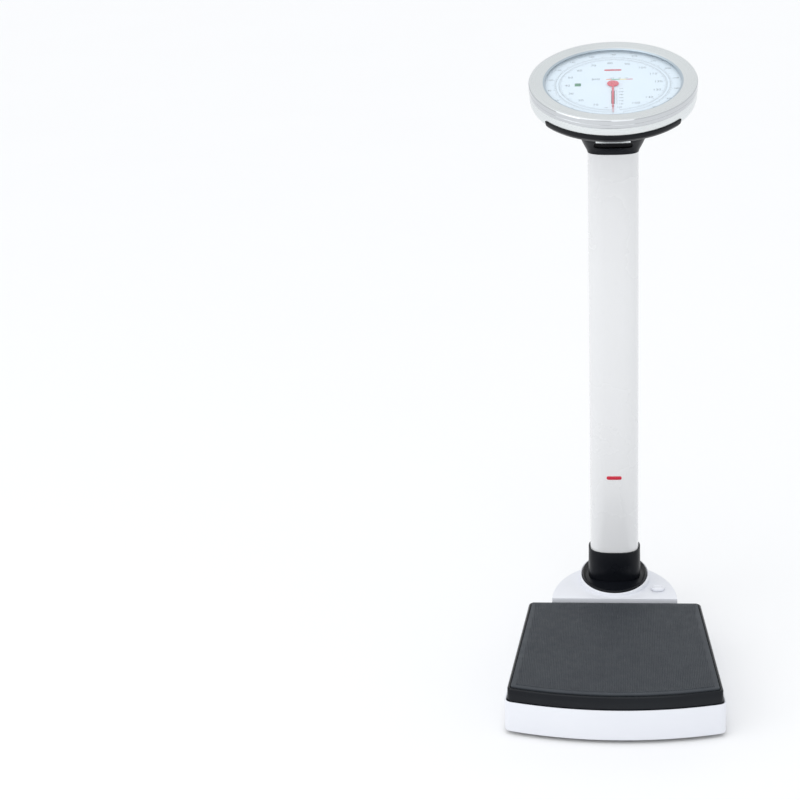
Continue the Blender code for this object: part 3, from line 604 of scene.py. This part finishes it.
def tiltRim(piece):
    # what stands above the cover is lifted towards the rear
    rise = tan(radians(flangeDish["tilt"]))
    for vertex in piece.data.vertices:
        if vertex.co.z > 0.0001:
            vertex.co.z += (vertex.co.y + flangeDish["half"][1]) * rise


def makeFlangeDish():
    wide, deep = flangeDish["half"]
    holeWide, holeDeep = flangeDish["hole"]
    lead = flangeDish["lead"]
    levels = [(wide * s, deep * s, 0, z) for s, z in flangeDish["levels"]]
    levels += [(holeWide, holeDeep, lead, flangeDish["seat"]), (holeWide, holeDeep, lead, 0)]
    levels.append(levels[0])
    piece = growRings("flangeDish", oval(2, 120), levels, "NOTHING")
    tiltRim(piece)
    moveMesh(piece, flangePlace())
    finishPiece(piece, "base", "black_plastic", looks["blackMoulding"], replaced=["flange_ring"], smooth=50)


columnTube = {"wall": 0.0025, "points": 120}
collarSleeve = {"footWall": 0.0042, "topWall": 0.0031, "gap": 0.0003, "lift": 0.0003, "edge": 0.0009}


def makeColumn():
    outline = oval(columnPower, columnTube["points"])
    halfX, halfY = columnHalf
    levels = [(halfX, halfY, columnY, tubeLow.z), (halfX, halfY, columnY, tubeHigh.z)]
    tube = growRings("columnPost", outline, levels, "NOTHING")
    thicken(tube, columnTube["wall"])
    finishPiece(tube, "base", "column_paint", looks["columnEnamel"], replaced=["column_tube"])

    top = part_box("column_collar")[1].z
    foot, rim, gap = collarSleeve["footWall"], collarSleeve["topWall"], collarSleeve["gap"]
    levels = [(halfX + foot, halfY + foot, columnY, tubeLow.z), (halfX + rim, halfY + rim, columnY, top),
              (halfX + gap, halfY + gap, columnY, top), (halfX + gap, halfY + gap, columnY, tubeLow.z),
              (halfX + foot, halfY + foot, columnY, tubeLow.z)]
    collar = growRings("collarSleeve", outline, levels, "NOTHING")
    seatHeight = flangeDish["seat"] + collarSleeve["lift"]
    seat = flangePlace() @ Matrix.Translation((0, -flangeDish["half"][1], seatHeight))
    seatAxis = seat.to_3x3() @ Matrix.Rotation(radians(flangeDish["tilt"]), 3, "X") @ Vector((0, 0, 1))
    sliceOff(collar, seat.translation, -seatAxis)
    softenEdges(collar, collarSleeve["edge"], 3, 50)
    finishPiece(collar, "base", "black_plastic", looks["blackMoulding"], replaced=["column_collar"])


columnMark = {"half": (0.0125, 0.0030), "height": 0.276, "proud": 0.0006, "depth": 0.0009, "edge": 0.00015,
              "steps": 10, "straightSteps": 8}


def capsuleEnds(halfX, halfZ, steps):
    # the right-hand end of a capsule, from top to bottom
    angles = [pi * i / steps for i in range(steps + 1)]
    return [(halfX - halfZ + halfZ * sin(a), halfZ * cos(a)) for a in angles]


def makeColumnMark():
    # a plain capsule in place of any lettering, bent round the column
    halfX, halfZ = columnMark["half"]
    right, count = capsuleEnds(halfX, halfZ, columnMark["steps"]), columnMark["straightSteps"]
    across = [((halfX - halfZ) * (2 * i / count - 1), halfZ) for i in range(1, count)]
    half = across + right
    outline = half + [(-x, -z) for x, z in half]
    frontY = columnY - columnHalf[1] - columnMark["proud"]
    points = [(x, frontY, columnMark["height"] + z) for x, z in outline]
    piece = extrudeOutline("columnMark", points, (0, columnMark["depth"], 0))
    for vertex in piece.data.vertices:
        share = 1 - abs(vertex.co.x / columnHalf[0]) ** columnPower
        vertex.co.y += columnHalf[1] * (1 - share ** (1 / columnPower))
    softenEdges(piece, columnMark["edge"], 2, 60)
    finishPiece(piece, "base", "pointer_red", looks["printRed"])


footPad = {"profile": [(0.0, 0.0, 0), (0.0105, 0, 0.0008), (0.0145, 0.0010, 0.0010), (0.0145, 0.0040, 0.0010),
                       (0.0115, 0.0055, 0.0004), (0.0040, 0.0055, 0), (0.0040, 0.0205, 0.0008), (0.0, 0.0205, 0)],
           "steps": 56,
           "rib": {"size": (0.0009, 0.0012, 0.0022), "place": (0.0147, 0, 0.0026), "edge": 0.0003, "count": 28}}


def makeFeet():
    for name in sorted(nodes):
        if not name.startswith("levelling_foot_"):
            continue
        place = joints[name.replace("levelling_foot", "foot_turn")]["pos_m"]
        pad = turnProfile("pad", softProfile(footPad["profile"]), footPad["steps"])
        foot = joinPieces("footPad_" + name.replace("levelling_foot_", ""), [pad, makeRibRing(footPad["rib"])])
        moveMesh(foot, Matrix.Translation((place[0], place[1], 0)))
        finishPiece(foot, name.replace("levelling_", ""), "foot_rubber", looks["footRubber"], replaced=[name])


plateScrew = {"places": [(-0.120, -0.120), (0.120, -0.120), (-0.100, 0.040), (0.100, 0.040), (0.0, -0.225),
                         (0.0, 0.210)],
              "radius": 0.0038, "height": 0.0016, "slot": (0.00475, 0.0008, 0.0014), "steps": 28}


def makePlateScrews():
    # round-headed screws with a cross recess, under the bottom plate
    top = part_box("bottom_plate")[0].z
    radius, height = plateScrew["radius"], plateScrew["height"]
    profile = softProfile([(0, 0, 0), (radius, 0, 0), (radius, -height, height * 0.7), (0, -height, 0)])
    heads = []
    for x, y in plateScrew["places"]:
        head = turnProfile("screwHead", profile, plateScrew["steps"])
        for turn in (pi / 4, 3 * pi / 4):
            slot = addBlock("slot", plateScrew["slot"], (0, 0, -height))
            cutAway(head, moveMesh(slot, Matrix.Rotation(turn, 4, "Z")))
        heads.append(moveMesh(head, Matrix.Translation((x, y, top))))
    finishPiece(joinPieces("plateScrews", heads), "base", "zinc_steel", looks["zincSteel"])


makeBaseShell()
makeRearCover()
makeCoverLip()
makeFlangeDish()
makeColumn()
makeColumnMark()
makeFeet()
makePlateScrews()
print("base and column made")


# Platform
trayShell = {"inset": 0.0046, "wall": 0.0021, "bead": [(0.0009, 0.0010), (0.0010, 0.0007), (0.0008, 0.0001),
                                                       (0.0008, -0.0001), (0.0010, -0.0008), (0.0007, -0.0009)]}


def makeTray():
    outline = insideOf(plateOutline(False), trayShell["inset"])
    piece = drawOutline("trayShell", [(x, y, trayLow.z) for x, y in outline])
    editAll(piece)
    extrudeBy((0, 0, trayHigh.z - trayLow.z))
    pickPart(piece, "FACE", lambda middle, face: face.normal.z > 0.9)
    for thickness, depth in trayShell["bead"]:  # the raised bead round the mat
        bpy.ops.mesh.inset(thickness=thickness, depth=depth, use_even_offset=True)
    pickPart(piece, "FACE", lambda middle, face: face.normal.z < -0.9 and middle.z < trayLow.z + 0.001)
    bpy.ops.mesh.delete(type="FACE")
    bpy.ops.object.mode_set(mode="OBJECT")
    thicken(piece, trayShell["wall"])
    finishPiece(piece, "platform", "black_tray", looks["trayEnamel"], replaced=["platform_tray"], smooth=50)


ribbedMat = {"inset": 0.0100, "border": 0.0068, "pitch": 0.0027, "ribWidth": 0.0015, "ribRise": 0.0007,
             "ribEdge": 0.0004, "shortest": 0.004, "edge": 0.0009}


def spanAt(outline, x):
    # where the outline crosses this x, front and rear
    ys = []
    for (x0, y0), (x1, y1) in zip(outline, outline[1:] + outline[:1]):
        if (x0 - x) * (x1 - x) < 0:
            ys.append(y0 + (y1 - y0) * (x - x0) / (x1 - x0))
    return (min(ys), max(ys)) if len(ys) > 1 else None


def makeMat():
    outline = insideOf(plateOutline(False), ribbedMat["inset"])
    slabTop = matHigh.z - ribbedMat["ribRise"]
    slab = extrudeOutline("matSlab", [(x, y, matLow.z) for x, y in outline], (0, 0, slabTop - matLow.z))
    softenEdges(slab, ribbedMat["edge"], 3, 60)
    field = insideOf(outline, ribbedMat["border"])
    rib = addBlock("rib", (ribbedMat["ribWidth"], 1, ribbedMat["ribRise"] * 2), (0, 0, slabTop))
    editAll(rib)
    pickPart(rib, "FACE", lambda middle, face: face.normal.z < -0.9)
    bpy.ops.mesh.delete(type="FACE")
    pickPart(rib, "EDGE", lambda middle, edge: middle.z > slabTop and abs(middle.x) > 0.0001)
    bpy.ops.mesh.bevel(offset=ribbedMat["ribEdge"], segments=2)
    bpy.ops.object.mode_set(mode="OBJECT")
    half = max(x for x, y in field)
    count = int(2 * half / ribbedMat["pitch"])
    parts = [slab]
    for i in range(count):
        x = (i - (count - 1) / 2) * ribbedMat["pitch"]
        span = spanAt(field, x)
        if not span or span[1] - span[0] < ribbedMat["shortest"]:
            continue
        copy = bpy.data.objects.new("rib", rib.data.copy())
        bpy.context.scene.collection.objects.link(copy)
        length, middle = span[1] - span[0], (span[0] + span[1]) / 2
        copy.data.transform(Matrix.Translation((x, middle, 0)) @ Matrix.Diagonal((1, length, 1, 1)))
        parts.append(copy)
    bpy.data.objects.remove(rib)
    piece = joinPieces("ribbedMat", parts)
    finishPiece(piece, "platform", "ribbed_rubber", looks["matRubber"], replaced=["platform_mat"], smooth=40)


makeTray()
makeMat()
print("platform made")


# Neck and head
neckHousing = {"levels": [(0.0406, 0.0303, 0, 0.8203), (0.0410, 0.0304, 0, 0.8225),
                          (0.0428, 0.0312, 0, 0.8260), (0.0450, 0.0329, -0.0007, 0.8302),
                          (0.0474, 0.0350, -0.0015, 0.8350),
                          (0.0492, 0.0374, -0.0025, 0.8392), (0.0508, 0.0395, -0.0035, 0.8430),
                          (0.0519, 0.0414, -0.0045, 0.8474), (0.0528, 0.0430, -0.0055, 0.8520),
                          (0.0535, 0.0444, -0.0065, 0.8562), (0.0540, 0.0455, -0.0075, 0.8600),
                          (0.0546, 0.0472, -0.0092, 0.8720), (0.0550, 0.0482, -0.0102, 0.9200)],
               "recessHalf": 0.0300, "recessZ": (0.8310, 0.8410), "recessY": (-0.060, -0.024),
               "lowBore": (0.014, 0.014), "lowSpan": (0.80, 0.849), "highBore": (0.028, 0.031),
               "highSpan": (0.8480, 0.95), "boreLead": 0.001, "underside": -0.0503, "edge": 0.0007}


def makeNeck():
    levels = [(wide, deep, columnY + shift, z) for wide, deep, shift, z in neckHousing["levels"]]
    piece = growRings("neckHousing", oval(columnPower, 96), levels)
    normal = headPlace.to_3x3() @ Vector((0, 0, 1))
    sliceOff(piece, dialCentre + normal * neckHousing["underside"], normal)
    lowBore = scaledOval(neckHousing["lowBore"], (0, columnY), 2, 40)
    cutAway(piece, makeCutter(lowBore, *neckHousing["lowSpan"]))
    highBore = scaledOval(neckHousing["highBore"], (0, columnY + neckHousing["boreLead"]), 2, 56)
    cutAway(piece, makeCutter(highBore, *neckHousing["highSpan"]))
    (low, high), (near, far) = neckHousing["recessZ"], neckHousing["recessY"]
    recess = scaledOval((neckHousing["recessHalf"], (high - low) / 2), (0, (low + high) / 2), 5)
    pocket = extrudeOutline("pocket", [(x, columnY + near, z) for x, z in recess], (0, far - near, 0))
    cutAway(piece, pocket)
    softenEdges(piece, neckHousing["edge"], 3, 45)
    finishPiece(piece, "base", "black_plastic", looks["blackMoulding"], replaced=["neck"], smooth=40)


# a bright strip laid on the black neck where its lip only catches light: a painted highlight
recessTrim = {"half": 0.0270, "front": -0.0300, "proud": 0.0005, "edge": 0.0004,
              "levels": [(0.0500, 0.0384, -0.0030, 0.8412), (0.0508, 0.0395, -0.0035, 0.8430),
                         (0.0514, 0.0403, -0.0039, 0.8448)]}


def makeRecessTrim():
    # a satin metal strip over the finger recess, standing in for the light caught by the black lip: a painted
    # highlight
    proud = recessTrim["proud"]
    levels = [(wide + proud, deep + proud, columnY + shift, z)
              for wide, deep, shift, z in recessTrim["levels"]]
    piece = growRings("recessTrim", oval(columnPower, 144), levels)
    sliceOff(piece, (0, columnY + recessTrim["front"], 0), (0, 1, 0))
    for side in (-1, 1):
        sliceOff(piece, (side * recessTrim["half"], 0, 0), (side, 0, 0))
    softenEdges(piece, recessTrim["edge"], 2, 40)
    finishPiece(piece, "base", "satin_silver", looks["satinMetal"], smooth=40)


bowl = {"outside": [(0.1290, -0.0123, 0.0008), (0.1290, -0.0250, 0.006), (0.1272, -0.0325, 0.007),
                    (0.1215, -0.0378, 0.007), (0.1090, -0.0412, 0.02), (0.0700, -0.0480, 0.02),
                    (0.0560, -0.0500, 0.01)],
        "inside": [(0.0, -0.0500, 0), (0.0, -0.0478, 0), (0.0560, -0.0478, 0.006), (0.0690, -0.0458, 0.01),
                   (0.1080, -0.0388, 0.01), (0.1200, -0.0357, 0.005), (0.1248, -0.0312, 0.005),
                   (0.1265, -0.0248, 0.004), (0.1265, -0.0123, 0)],
        "hole": (0.022, 0.028), "holeY": 0.022, "holeSpan": (-0.06, -0.04), "steps": 160}


def makeBowl():
    piece = turnProfile("headBowl", softProfile(bowl["outside"] + bowl["inside"]), bowl["steps"])
    cutAway(piece, makeCutter(scaledOval(bowl["hole"], (0, bowl["holeY"])), *bowl["holeSpan"]))
    moveMesh(piece, headPlace)
    finishPiece(piece, "base", "satin_silver", looks["satinMetal"], replaced=["head_casing"], smooth=40)


gripBand = {"profile": [(0.1293, -0.0240, 0.0002), (0.1308, -0.0242, 0.0006), (0.1302, -0.0280, 0.008),
                        (0.1292, -0.0322, 0.006), (0.1246, -0.0378, 0.006), (0.1125, -0.0424, 0.0006),
                        (0.1110, -0.0412, 0.0002), (0.1218, -0.0382, 0.005), (0.1276, -0.0326, 0.004)],
            "halfAngle": 52, "steps": 72, "edge": 0.0004}


def makeGripBand():
    half = radians(gripBand["halfAngle"])
    profile, steps = softProfile(gripBand["profile"]), gripBand["steps"]
    piece = turnProfile("gripBand", profile, steps, -pi / 2 - half, 2 * half)
    softenEdges(piece, gripBand["edge"], 2, 70)
    moveMesh(piece, headPlace)
    finishPiece(piece, "base", "black_plastic", looks["blackMoulding"], replaced=["grip_crescent"], smooth=40)


bezelRing = {"profile": [(0.1272, -0.0120, 0), (0.1300, -0.0120, 0.0008), (0.1300, -0.0066, 0.0),
                         (0.1297, -0.0062, 0.0), (0.1300, -0.0058, 0.0), (0.1300, 0.0002, 0.0009),
                         (0.1288, 0.0019, 0.0012), (0.1262, 0.0026, 0.006), (0.1180, 0.0022, 0.02),
                         (0.1100, 0.0014, 0.0022), (0.1080, 0.0008, 0.0012), (0.1048, -0.0005, 0.0001),
                         (0.1052, -0.0008, 0), (0.1272, -0.0008, 0)],
             "wallRadius": 0.1286, "wallTop": 0.0018, "slopeRadius": 0.1088, "steps": 200}


def makeBezel():
    piece = turnProfile("bezelRing", softProfile(bezelRing["profile"]), bezelRing["steps"])
    indices = []
    for face in piece.data.polygons:  # the outer wall is polished, the crown satin, the inner slope gets a darker bluish copy of the satin metal as painted shade and reflection
        reach = face.center.xy.length
        onWall = reach > bezelRing["wallRadius"] and face.center.z < bezelRing["wallTop"]
        indices.append(1 if onWall else 2 if reach < bezelRing["slopeRadius"] else 0)
    moveMesh(piece, headPlace)
    metals = [looks[name] for name in ("satinMetal", "polishedMetal", "slopeMetal")]
    finishPiece(piece, "base", "satin_silver", *metals, replaced=["bezel"], smooth=30)
    for face, index in zip(piece.data.polygons, indices):
        face.material_index = index


lensDisc = {"radius": 0.1195, "low": -0.0030, "high": -0.0011, "edge": 0.0004, "steps": 160}


def makeLens():
    low, high, radius, edge = lensDisc["low"], lensDisc["high"], lensDisc["radius"], lensDisc["edge"]
    profile = softProfile([(0, low, 0), (radius, low, edge), (radius, high, edge), (0, high, 0)])
    piece = turnProfile("lensDisc", profile, lensDisc["steps"])
    moveMesh(piece, headPlace)
    finishPiece(piece, "base", "lens", looks["lensGlass"], replaced=["lens"], smooth=40)


pointerNeedle = {"reach": 0.0915, "hubRadius": 0.0091, "low": -0.0047, "high": -0.0040, "hubLow": -0.0050,
                 "hubHigh": -0.0036, "rootHalf": 0.0019, "farHalf": 0.0009, "farShare": 0.8,
                 "tipHalf": 0.0003, "edge": 0.0002, "steps": 72}


def makePointer():
    reach, rootHalf, tipHalf = pointerNeedle["reach"], pointerNeedle["rootHalf"], pointerNeedle["tipHalf"]
    low, high = pointerNeedle["low"], pointerNeedle["high"]
    farHalf, farY = pointerNeedle["farHalf"], -reach * pointerNeedle["farShare"]
    right = [(tipHalf, -reach, low), (farHalf, farY, low), (rootHalf, 0, low)]
    left = [(-x, y, z) for x, y, z in reversed(right)]
    blade = extrudeOutline("blade", left + right, (0, 0, high - low))
    softenEdges(blade, pointerNeedle["edge"], 2, 50)
    radius, hubLow, hubHigh = pointerNeedle["hubRadius"], pointerNeedle["hubLow"], pointerNeedle["hubHigh"]
    profile = [(0, hubLow, 0), (radius, hubLow, 0.0003), (radius, hubHigh, 0.0007), (0, hubHigh, 0)]
    hub = turnProfile("hub", softProfile(profile), pointerNeedle["steps"])
    piece = joinPieces("pointerNeedle", [hub, blade])
    moveMesh(piece, headPlace)
    finishPiece(piece, "pointer", "pointer_red", looks["pointerEnamel"], replaced=["pointer"], smooth=40)


zeroKnob = {"profile": [(0, 0.0, 0), (0.0110, 0.0, 0.0003), (0.0110, 0.0036, 0.0012),
                        (0.0092, 0.0053, 0.0014), (0.0072, 0.0053, 0.0006), (0.0064, 0.0045, 0.0006),
                        (0, 0.0045, 0)],
            "steps": 72,
            "rib": {"size": (0.0006, 0.0008, 0.0024), "place": (0.0110, 0, 0.0018), "edge": 0.0002,
                    "count": 40}}


def makeZeroKnob():
    cap = turnProfile("cap", softProfile(zeroKnob["profile"]), zeroKnob["steps"])
    piece = joinPieces("zeroKnobCap", [cap, makeRibRing(zeroKnob["rib"])])
    moveMesh(piece, knobPlace)
    finishPiece(piece, "zero_knob", "zero_knob", looks["whiteMoulding"], replaced=["zero_knob"], smooth=40)


makeNeck()
makeRecessTrim()
makeBowl()
makeGripBand()
makeBezel()
makeLens()
makePointer()
makeZeroKnob()
print("neck and head made")


# Dial printing
unit = 0.070  # the radius of the kilogram numbers; other places on the dial are shares of it
printing = {"level": -0.00588, "thickness": 0.00006}
rowLevels = ("base", "tiny", "medium", "tall")
kiloScale = {"name": "kilo", "step": bmi["degreesPerKilo"], "base": 1.200, "tiny": 1.168, "medium": 1.140,
             "tall": 1.106, "width": 0.00034, "rows": [(320, 0.5), (160, 1), (32, 5)], "numbers": range(0, 160, 10),
             "numberRadius": 1.0, "size": 0.0086, "thin": 0.00010,
             "last": ("160", 160, 1.057, 0.0052, 0.00006),
             "unitName": ("kg", 8 / bmi["degreesPerKilo"], 1.068, 0.0046, 0.00005)}
poundScale = {"name": "pound", "step": 1.0, "base": 1.243, "tiny": 1.272, "medium": 1.302, "tall": 1.337,
              "width": 0.00030, "rows": [(350, 1), (175, 2), (35, 10)], "numbers": range(0, 341, 20),
              "numberRadius": 1.408, "size": 0.0063, "thin": 0.00008,
              "last": ("350", 350, 1.408, 0.0052, 0.00006), "unitName": ("lbs", 6, 1.416, 0.0044, 0.00005)}


def dialPoint(degreesClockwise, share):
    # zero is at the bottom of the dial
    angle, radius = radians(-90 - degreesClockwise), share * unit
    return Vector((radius * cos(angle), radius * sin(angle), 0))


def printMarks(width, near, far, count, step):
    # one mark below the centre, spun clockwise into a row of marks
    size, place = (width, abs(far - near), printing["thickness"]), (0, -(near + far) / 2, 0)
    piece = addBlock("marks", size, place)
    spinCopies(piece, count, radians(step * count))
    bpy.ops.object.mode_set(mode="OBJECT")
    return piece


def printText(words, place, size, thin):
    clearPick()
    bpy.ops.object.text_add(location=(0, 0, 0))
    text = bpy.context.object
    text.data.body, text.data.size = words, size
    text.data.align_x, text.data.align_y = "CENTER", "CENTER"
    text.data.extrude = printing["thickness"] / 2
    text.data.resolution_u = 3
    text.data.offset = -thin
    bpy.ops.object.convert(target="MESH")
    moveMesh(text, Matrix.Translation(place))
    return text


def placePrinting(name, parts, look, slotName="dial_enamel"):
    piece = joinPieces(name, parts)
    moveMesh(piece, headPlace @ Matrix.Translation((0, 0, printing["level"])))
    finishPiece(piece, "base", slotName, look, smooth=0)


def makeRoundScale(scale):
    # three rows of marks, each row ending where the next begins, and the numbers
    step, levels = scale["step"], [scale[key] * unit for key in rowLevels]
    marks = [printMarks(scale["width"], near, far, count, step * units)
             for near, far, (count, units) in zip(levels, levels[1:], scale["rows"])]
    placePrinting(scale["name"] + "Marks", marks, looks["printBlack"])
    words = [(str(number), number, scale["numberRadius"], scale["size"], scale["thin"])
             for number in scale["numbers"]]
    numbers = [printText(word, dialPoint(number * step, share), size, thin)
               for word, number, share, size, thin in (*words, scale["last"], scale["unitName"])]
    placePrinting(scale["name"] + "Numbers", numbers, looks["printBlack"])


heightScale = {"x": 0.062, "short": 0.030, "long": 0.050, "halfWidth": 0.00012, "numberX": 0.178,
               "size": 0.0048, "nearY": 0.905, "perCm": 0.006925, "unitY": -0.205, "unitSize": 0.0044,
               "thin": 0.00005}


def heightY(centimetres):
    return -(heightScale["nearY"] - (centimetres - 120) * heightScale["perCm"]) * unit


def printBar(name, low, high):
    size = (high[0] - low[0], high[1] - low[1], printing["thickness"])
    return addBlock(name, size, ((low[0] + high[0]) / 2, (low[1] + high[1]) / 2, 0))


def makeHeightScale():
    marks, left, half = [], heightScale["x"] * unit, heightScale["halfWidth"]
    for centimetres in range(120, 211, 5):
        length = heightScale["long" if centimetres % 20 == 0 else "short"] * unit
        y = heightY(centimetres)
        marks.append(printBar("heightMark", (left, y - half), (left + length, y + half)))
    placePrinting("heightMarks", marks, looks["printBlack"])
    x, thin = heightScale["numberX"] * unit, heightScale["thin"]
    numbers = [printText(str(centimetres), (x, heightY(centimetres), 0), heightScale["size"], thin)
               for centimetres in range(120, 201, 20)]
    numbers.append(printText("cm", (x, heightScale["unitY"] * unit, 0), heightScale["unitSize"], thin))
    placePrinting("heightNumbers", numbers, looks["printBlack"])


legend = {"left": -0.143, "right": 0.436, "y": 0.229, "height": 0.030,
          "shares": [("Orange", 0.195), ("Green", 0.310), ("Yellow", 0.253), ("Red", 0.242)],
          "edgeWords": ("18.5", "25", "30"), "numberY": 0.285, "numberSize": 0.0046, "numberThin": 0.00005,
          "titlePlace": (-0.377, 0.24), "titleSize": 0.0082, "titleThin": 0.00010}


def makeLegend():
    width, x = (legend["right"] - legend["left"]) * unit, legend["left"] * unit
    low, high = (legend["y"] - legend["height"] / 2) * unit, (legend["y"] + legend["height"] / 2) * unit
    edges = []
    for name, share in legend["shares"]:
        bar = printBar("legend" + name, (x, low), (x + width * share, high))
        placePrinting("legend" + name, [bar], looks["legendGreen" if name == "Green" else "print" + name])
        x += width * share
        edges.append(x)
    y, size, thin = legend["numberY"] * unit, legend["numberSize"], legend["numberThin"]
    numbers = [printText(words, (edge, y, 0), size, thin) for words, edge in zip(legend["edgeWords"], edges)]
    titleX, titleY = legend["titlePlace"]
    title = printText("BMI", (titleX * unit, titleY * unit, 0), legend["titleSize"], legend["titleThin"])
    placePrinting("legendWords", numbers + [title], looks["printBlack"])


dialMark = {"half": (0.0135, 0.0024), "y": 0.67, "steps": 12}
greenSquare = {"side": 0.0096, "x": -0.77}


def makeDialMarks():
    # plain coloured shapes where a real dial carries its maker's and class marks
    right = capsuleEnds(*dialMark["half"], dialMark["steps"])
    outline = right + [(-x, -y) for x, y in right]
    points = [(x, dialMark["y"] * unit + y, 0) for x, y in outline]
    capsule = extrudeOutline("capsule", points, (0, 0, printing["thickness"]))
    placePrinting("dialMark", [capsule], looks["printRed"], "pointer_red")
    half, x = greenSquare["side"] / 2, greenSquare["x"] * unit
    square = printBar("square", (x - half, -half), (x + half, half))
    placePrinting("greenSquare", [square], looks["printGreen"])


makeRoundScale(kiloScale)
makeRoundScale(poundScale)
makeHeightScale()
makeLegend()
makeDialMarks()
print("dial printed")


# The CAD nodes that stay get a material of their slot
keptLooks = {"zinc_steel": "zincSteel", "brass": "turnedBrass", "spring_steel": "springSteel",
             "gasket": "paleSpacer", "dial_enamel": "dialEnamel", "bmi_disc": "bmiDiscPrint"}
slotOf = {row["node"]: row["material_slot"] for row in frame["record"]["subparts"]}
for nodeName, node in nodes.items():
    if not node.hide_render:
        node.data.materials.clear()
        node.data.materials.append(looks[keptLooks[slotOf[nodeName]]])
print("kept CAD nodes painted")


# Floor, light and camera
studio = {"floorSize": 60, "floorColour": (0.93, 0.93, 0.935), "floorOther": (0.925, 0.925, 0.93),
          "world": 0.90, "worldColour": (0.97, 0.985, 1.0), "aim": (0, 0, 0.45),
          "sunPower": 0.65, "sunAngle": 70, "sunPlace": (-0.9, -1.0, 2.6),
          "lamps": {"leftLight": ((-2.4, -1.4, 1.7), 1.6, 5), "frontLight": ((0.6, -2.8, 1.9), 1.4, 4)}}


def aimLamp(light, place):
    lamp = bpy.data.objects.new(light.name, light)
    lamp.location = place
    aim = Vector(studio["aim"]) - Vector(place)
    lamp.rotation_euler = aim.to_track_quat("-Z", "Y").to_euler()
    bpy.context.scene.collection.objects.link(lamp)


def makeStudio():
    clearPick()
    bpy.ops.mesh.primitive_plane_add(size=studio["floorSize"], location=(0, 0, 0))
    floor = bpy.context.object
    floor.name = "studioFloor"
    material, tree, shader = newMaterial("paleFloor", studio["floorColour"], 0.75)
    mottle(tree, shader, objectCoords(tree), studio["floorColour"], studio["floorOther"], 2)
    floor.data.materials.append(material)
    world = bpy.data.worlds.new("studioWorld")
    world.use_nodes = True
    background = world.node_tree.nodes["Background"]
    background.inputs["Color"].default_value = (*studio["worldColour"], 1)
    background.inputs["Strength"].default_value = studio["world"]
    bpy.context.scene.world = world
    sun = bpy.data.lights.new("topSun", "SUN")
    sun.energy, sun.angle = studio["sunPower"], radians(studio["sunAngle"])
    aimLamp(sun, studio["sunPlace"])
    for name, (place, size, power) in studio["lamps"].items():
        light = bpy.data.lights.new(name, "AREA")
        light.size, light.energy = size, power
        aimLamp(light, place)


cameraView = {"place": (0.0, -3.039, 1.57), "lens": 92.8, "right": (0.99466, 0.09587, -0.03823),
              "up": (0.00306, 0.34283, 0.93939), "forward": (-0.10317, 0.93449, -0.34071)}


def makeCamera():
    data = bpy.data.cameras.new("studioCamera")
    data.lens, data.sensor_width = cameraView["lens"], 36
    camera = bpy.data.objects.new("studioCamera", data)
    right, up, forward = (Vector(cameraView[key]).normalized() for key in ("right", "up", "forward"))
    rows = [(right[i], up[i], -forward[i], cameraView["place"][i]) for i in range(3)]
    camera.matrix_world = Matrix((*rows, (0, 0, 0, 1)))
    bpy.context.scene.collection.objects.link(camera)
    bpy.context.scene.camera = camera


makeStudio()
makeCamera()
bpy.context.scene.view_settings.view_transform = "Standard"
clearPick()
print("studio made")
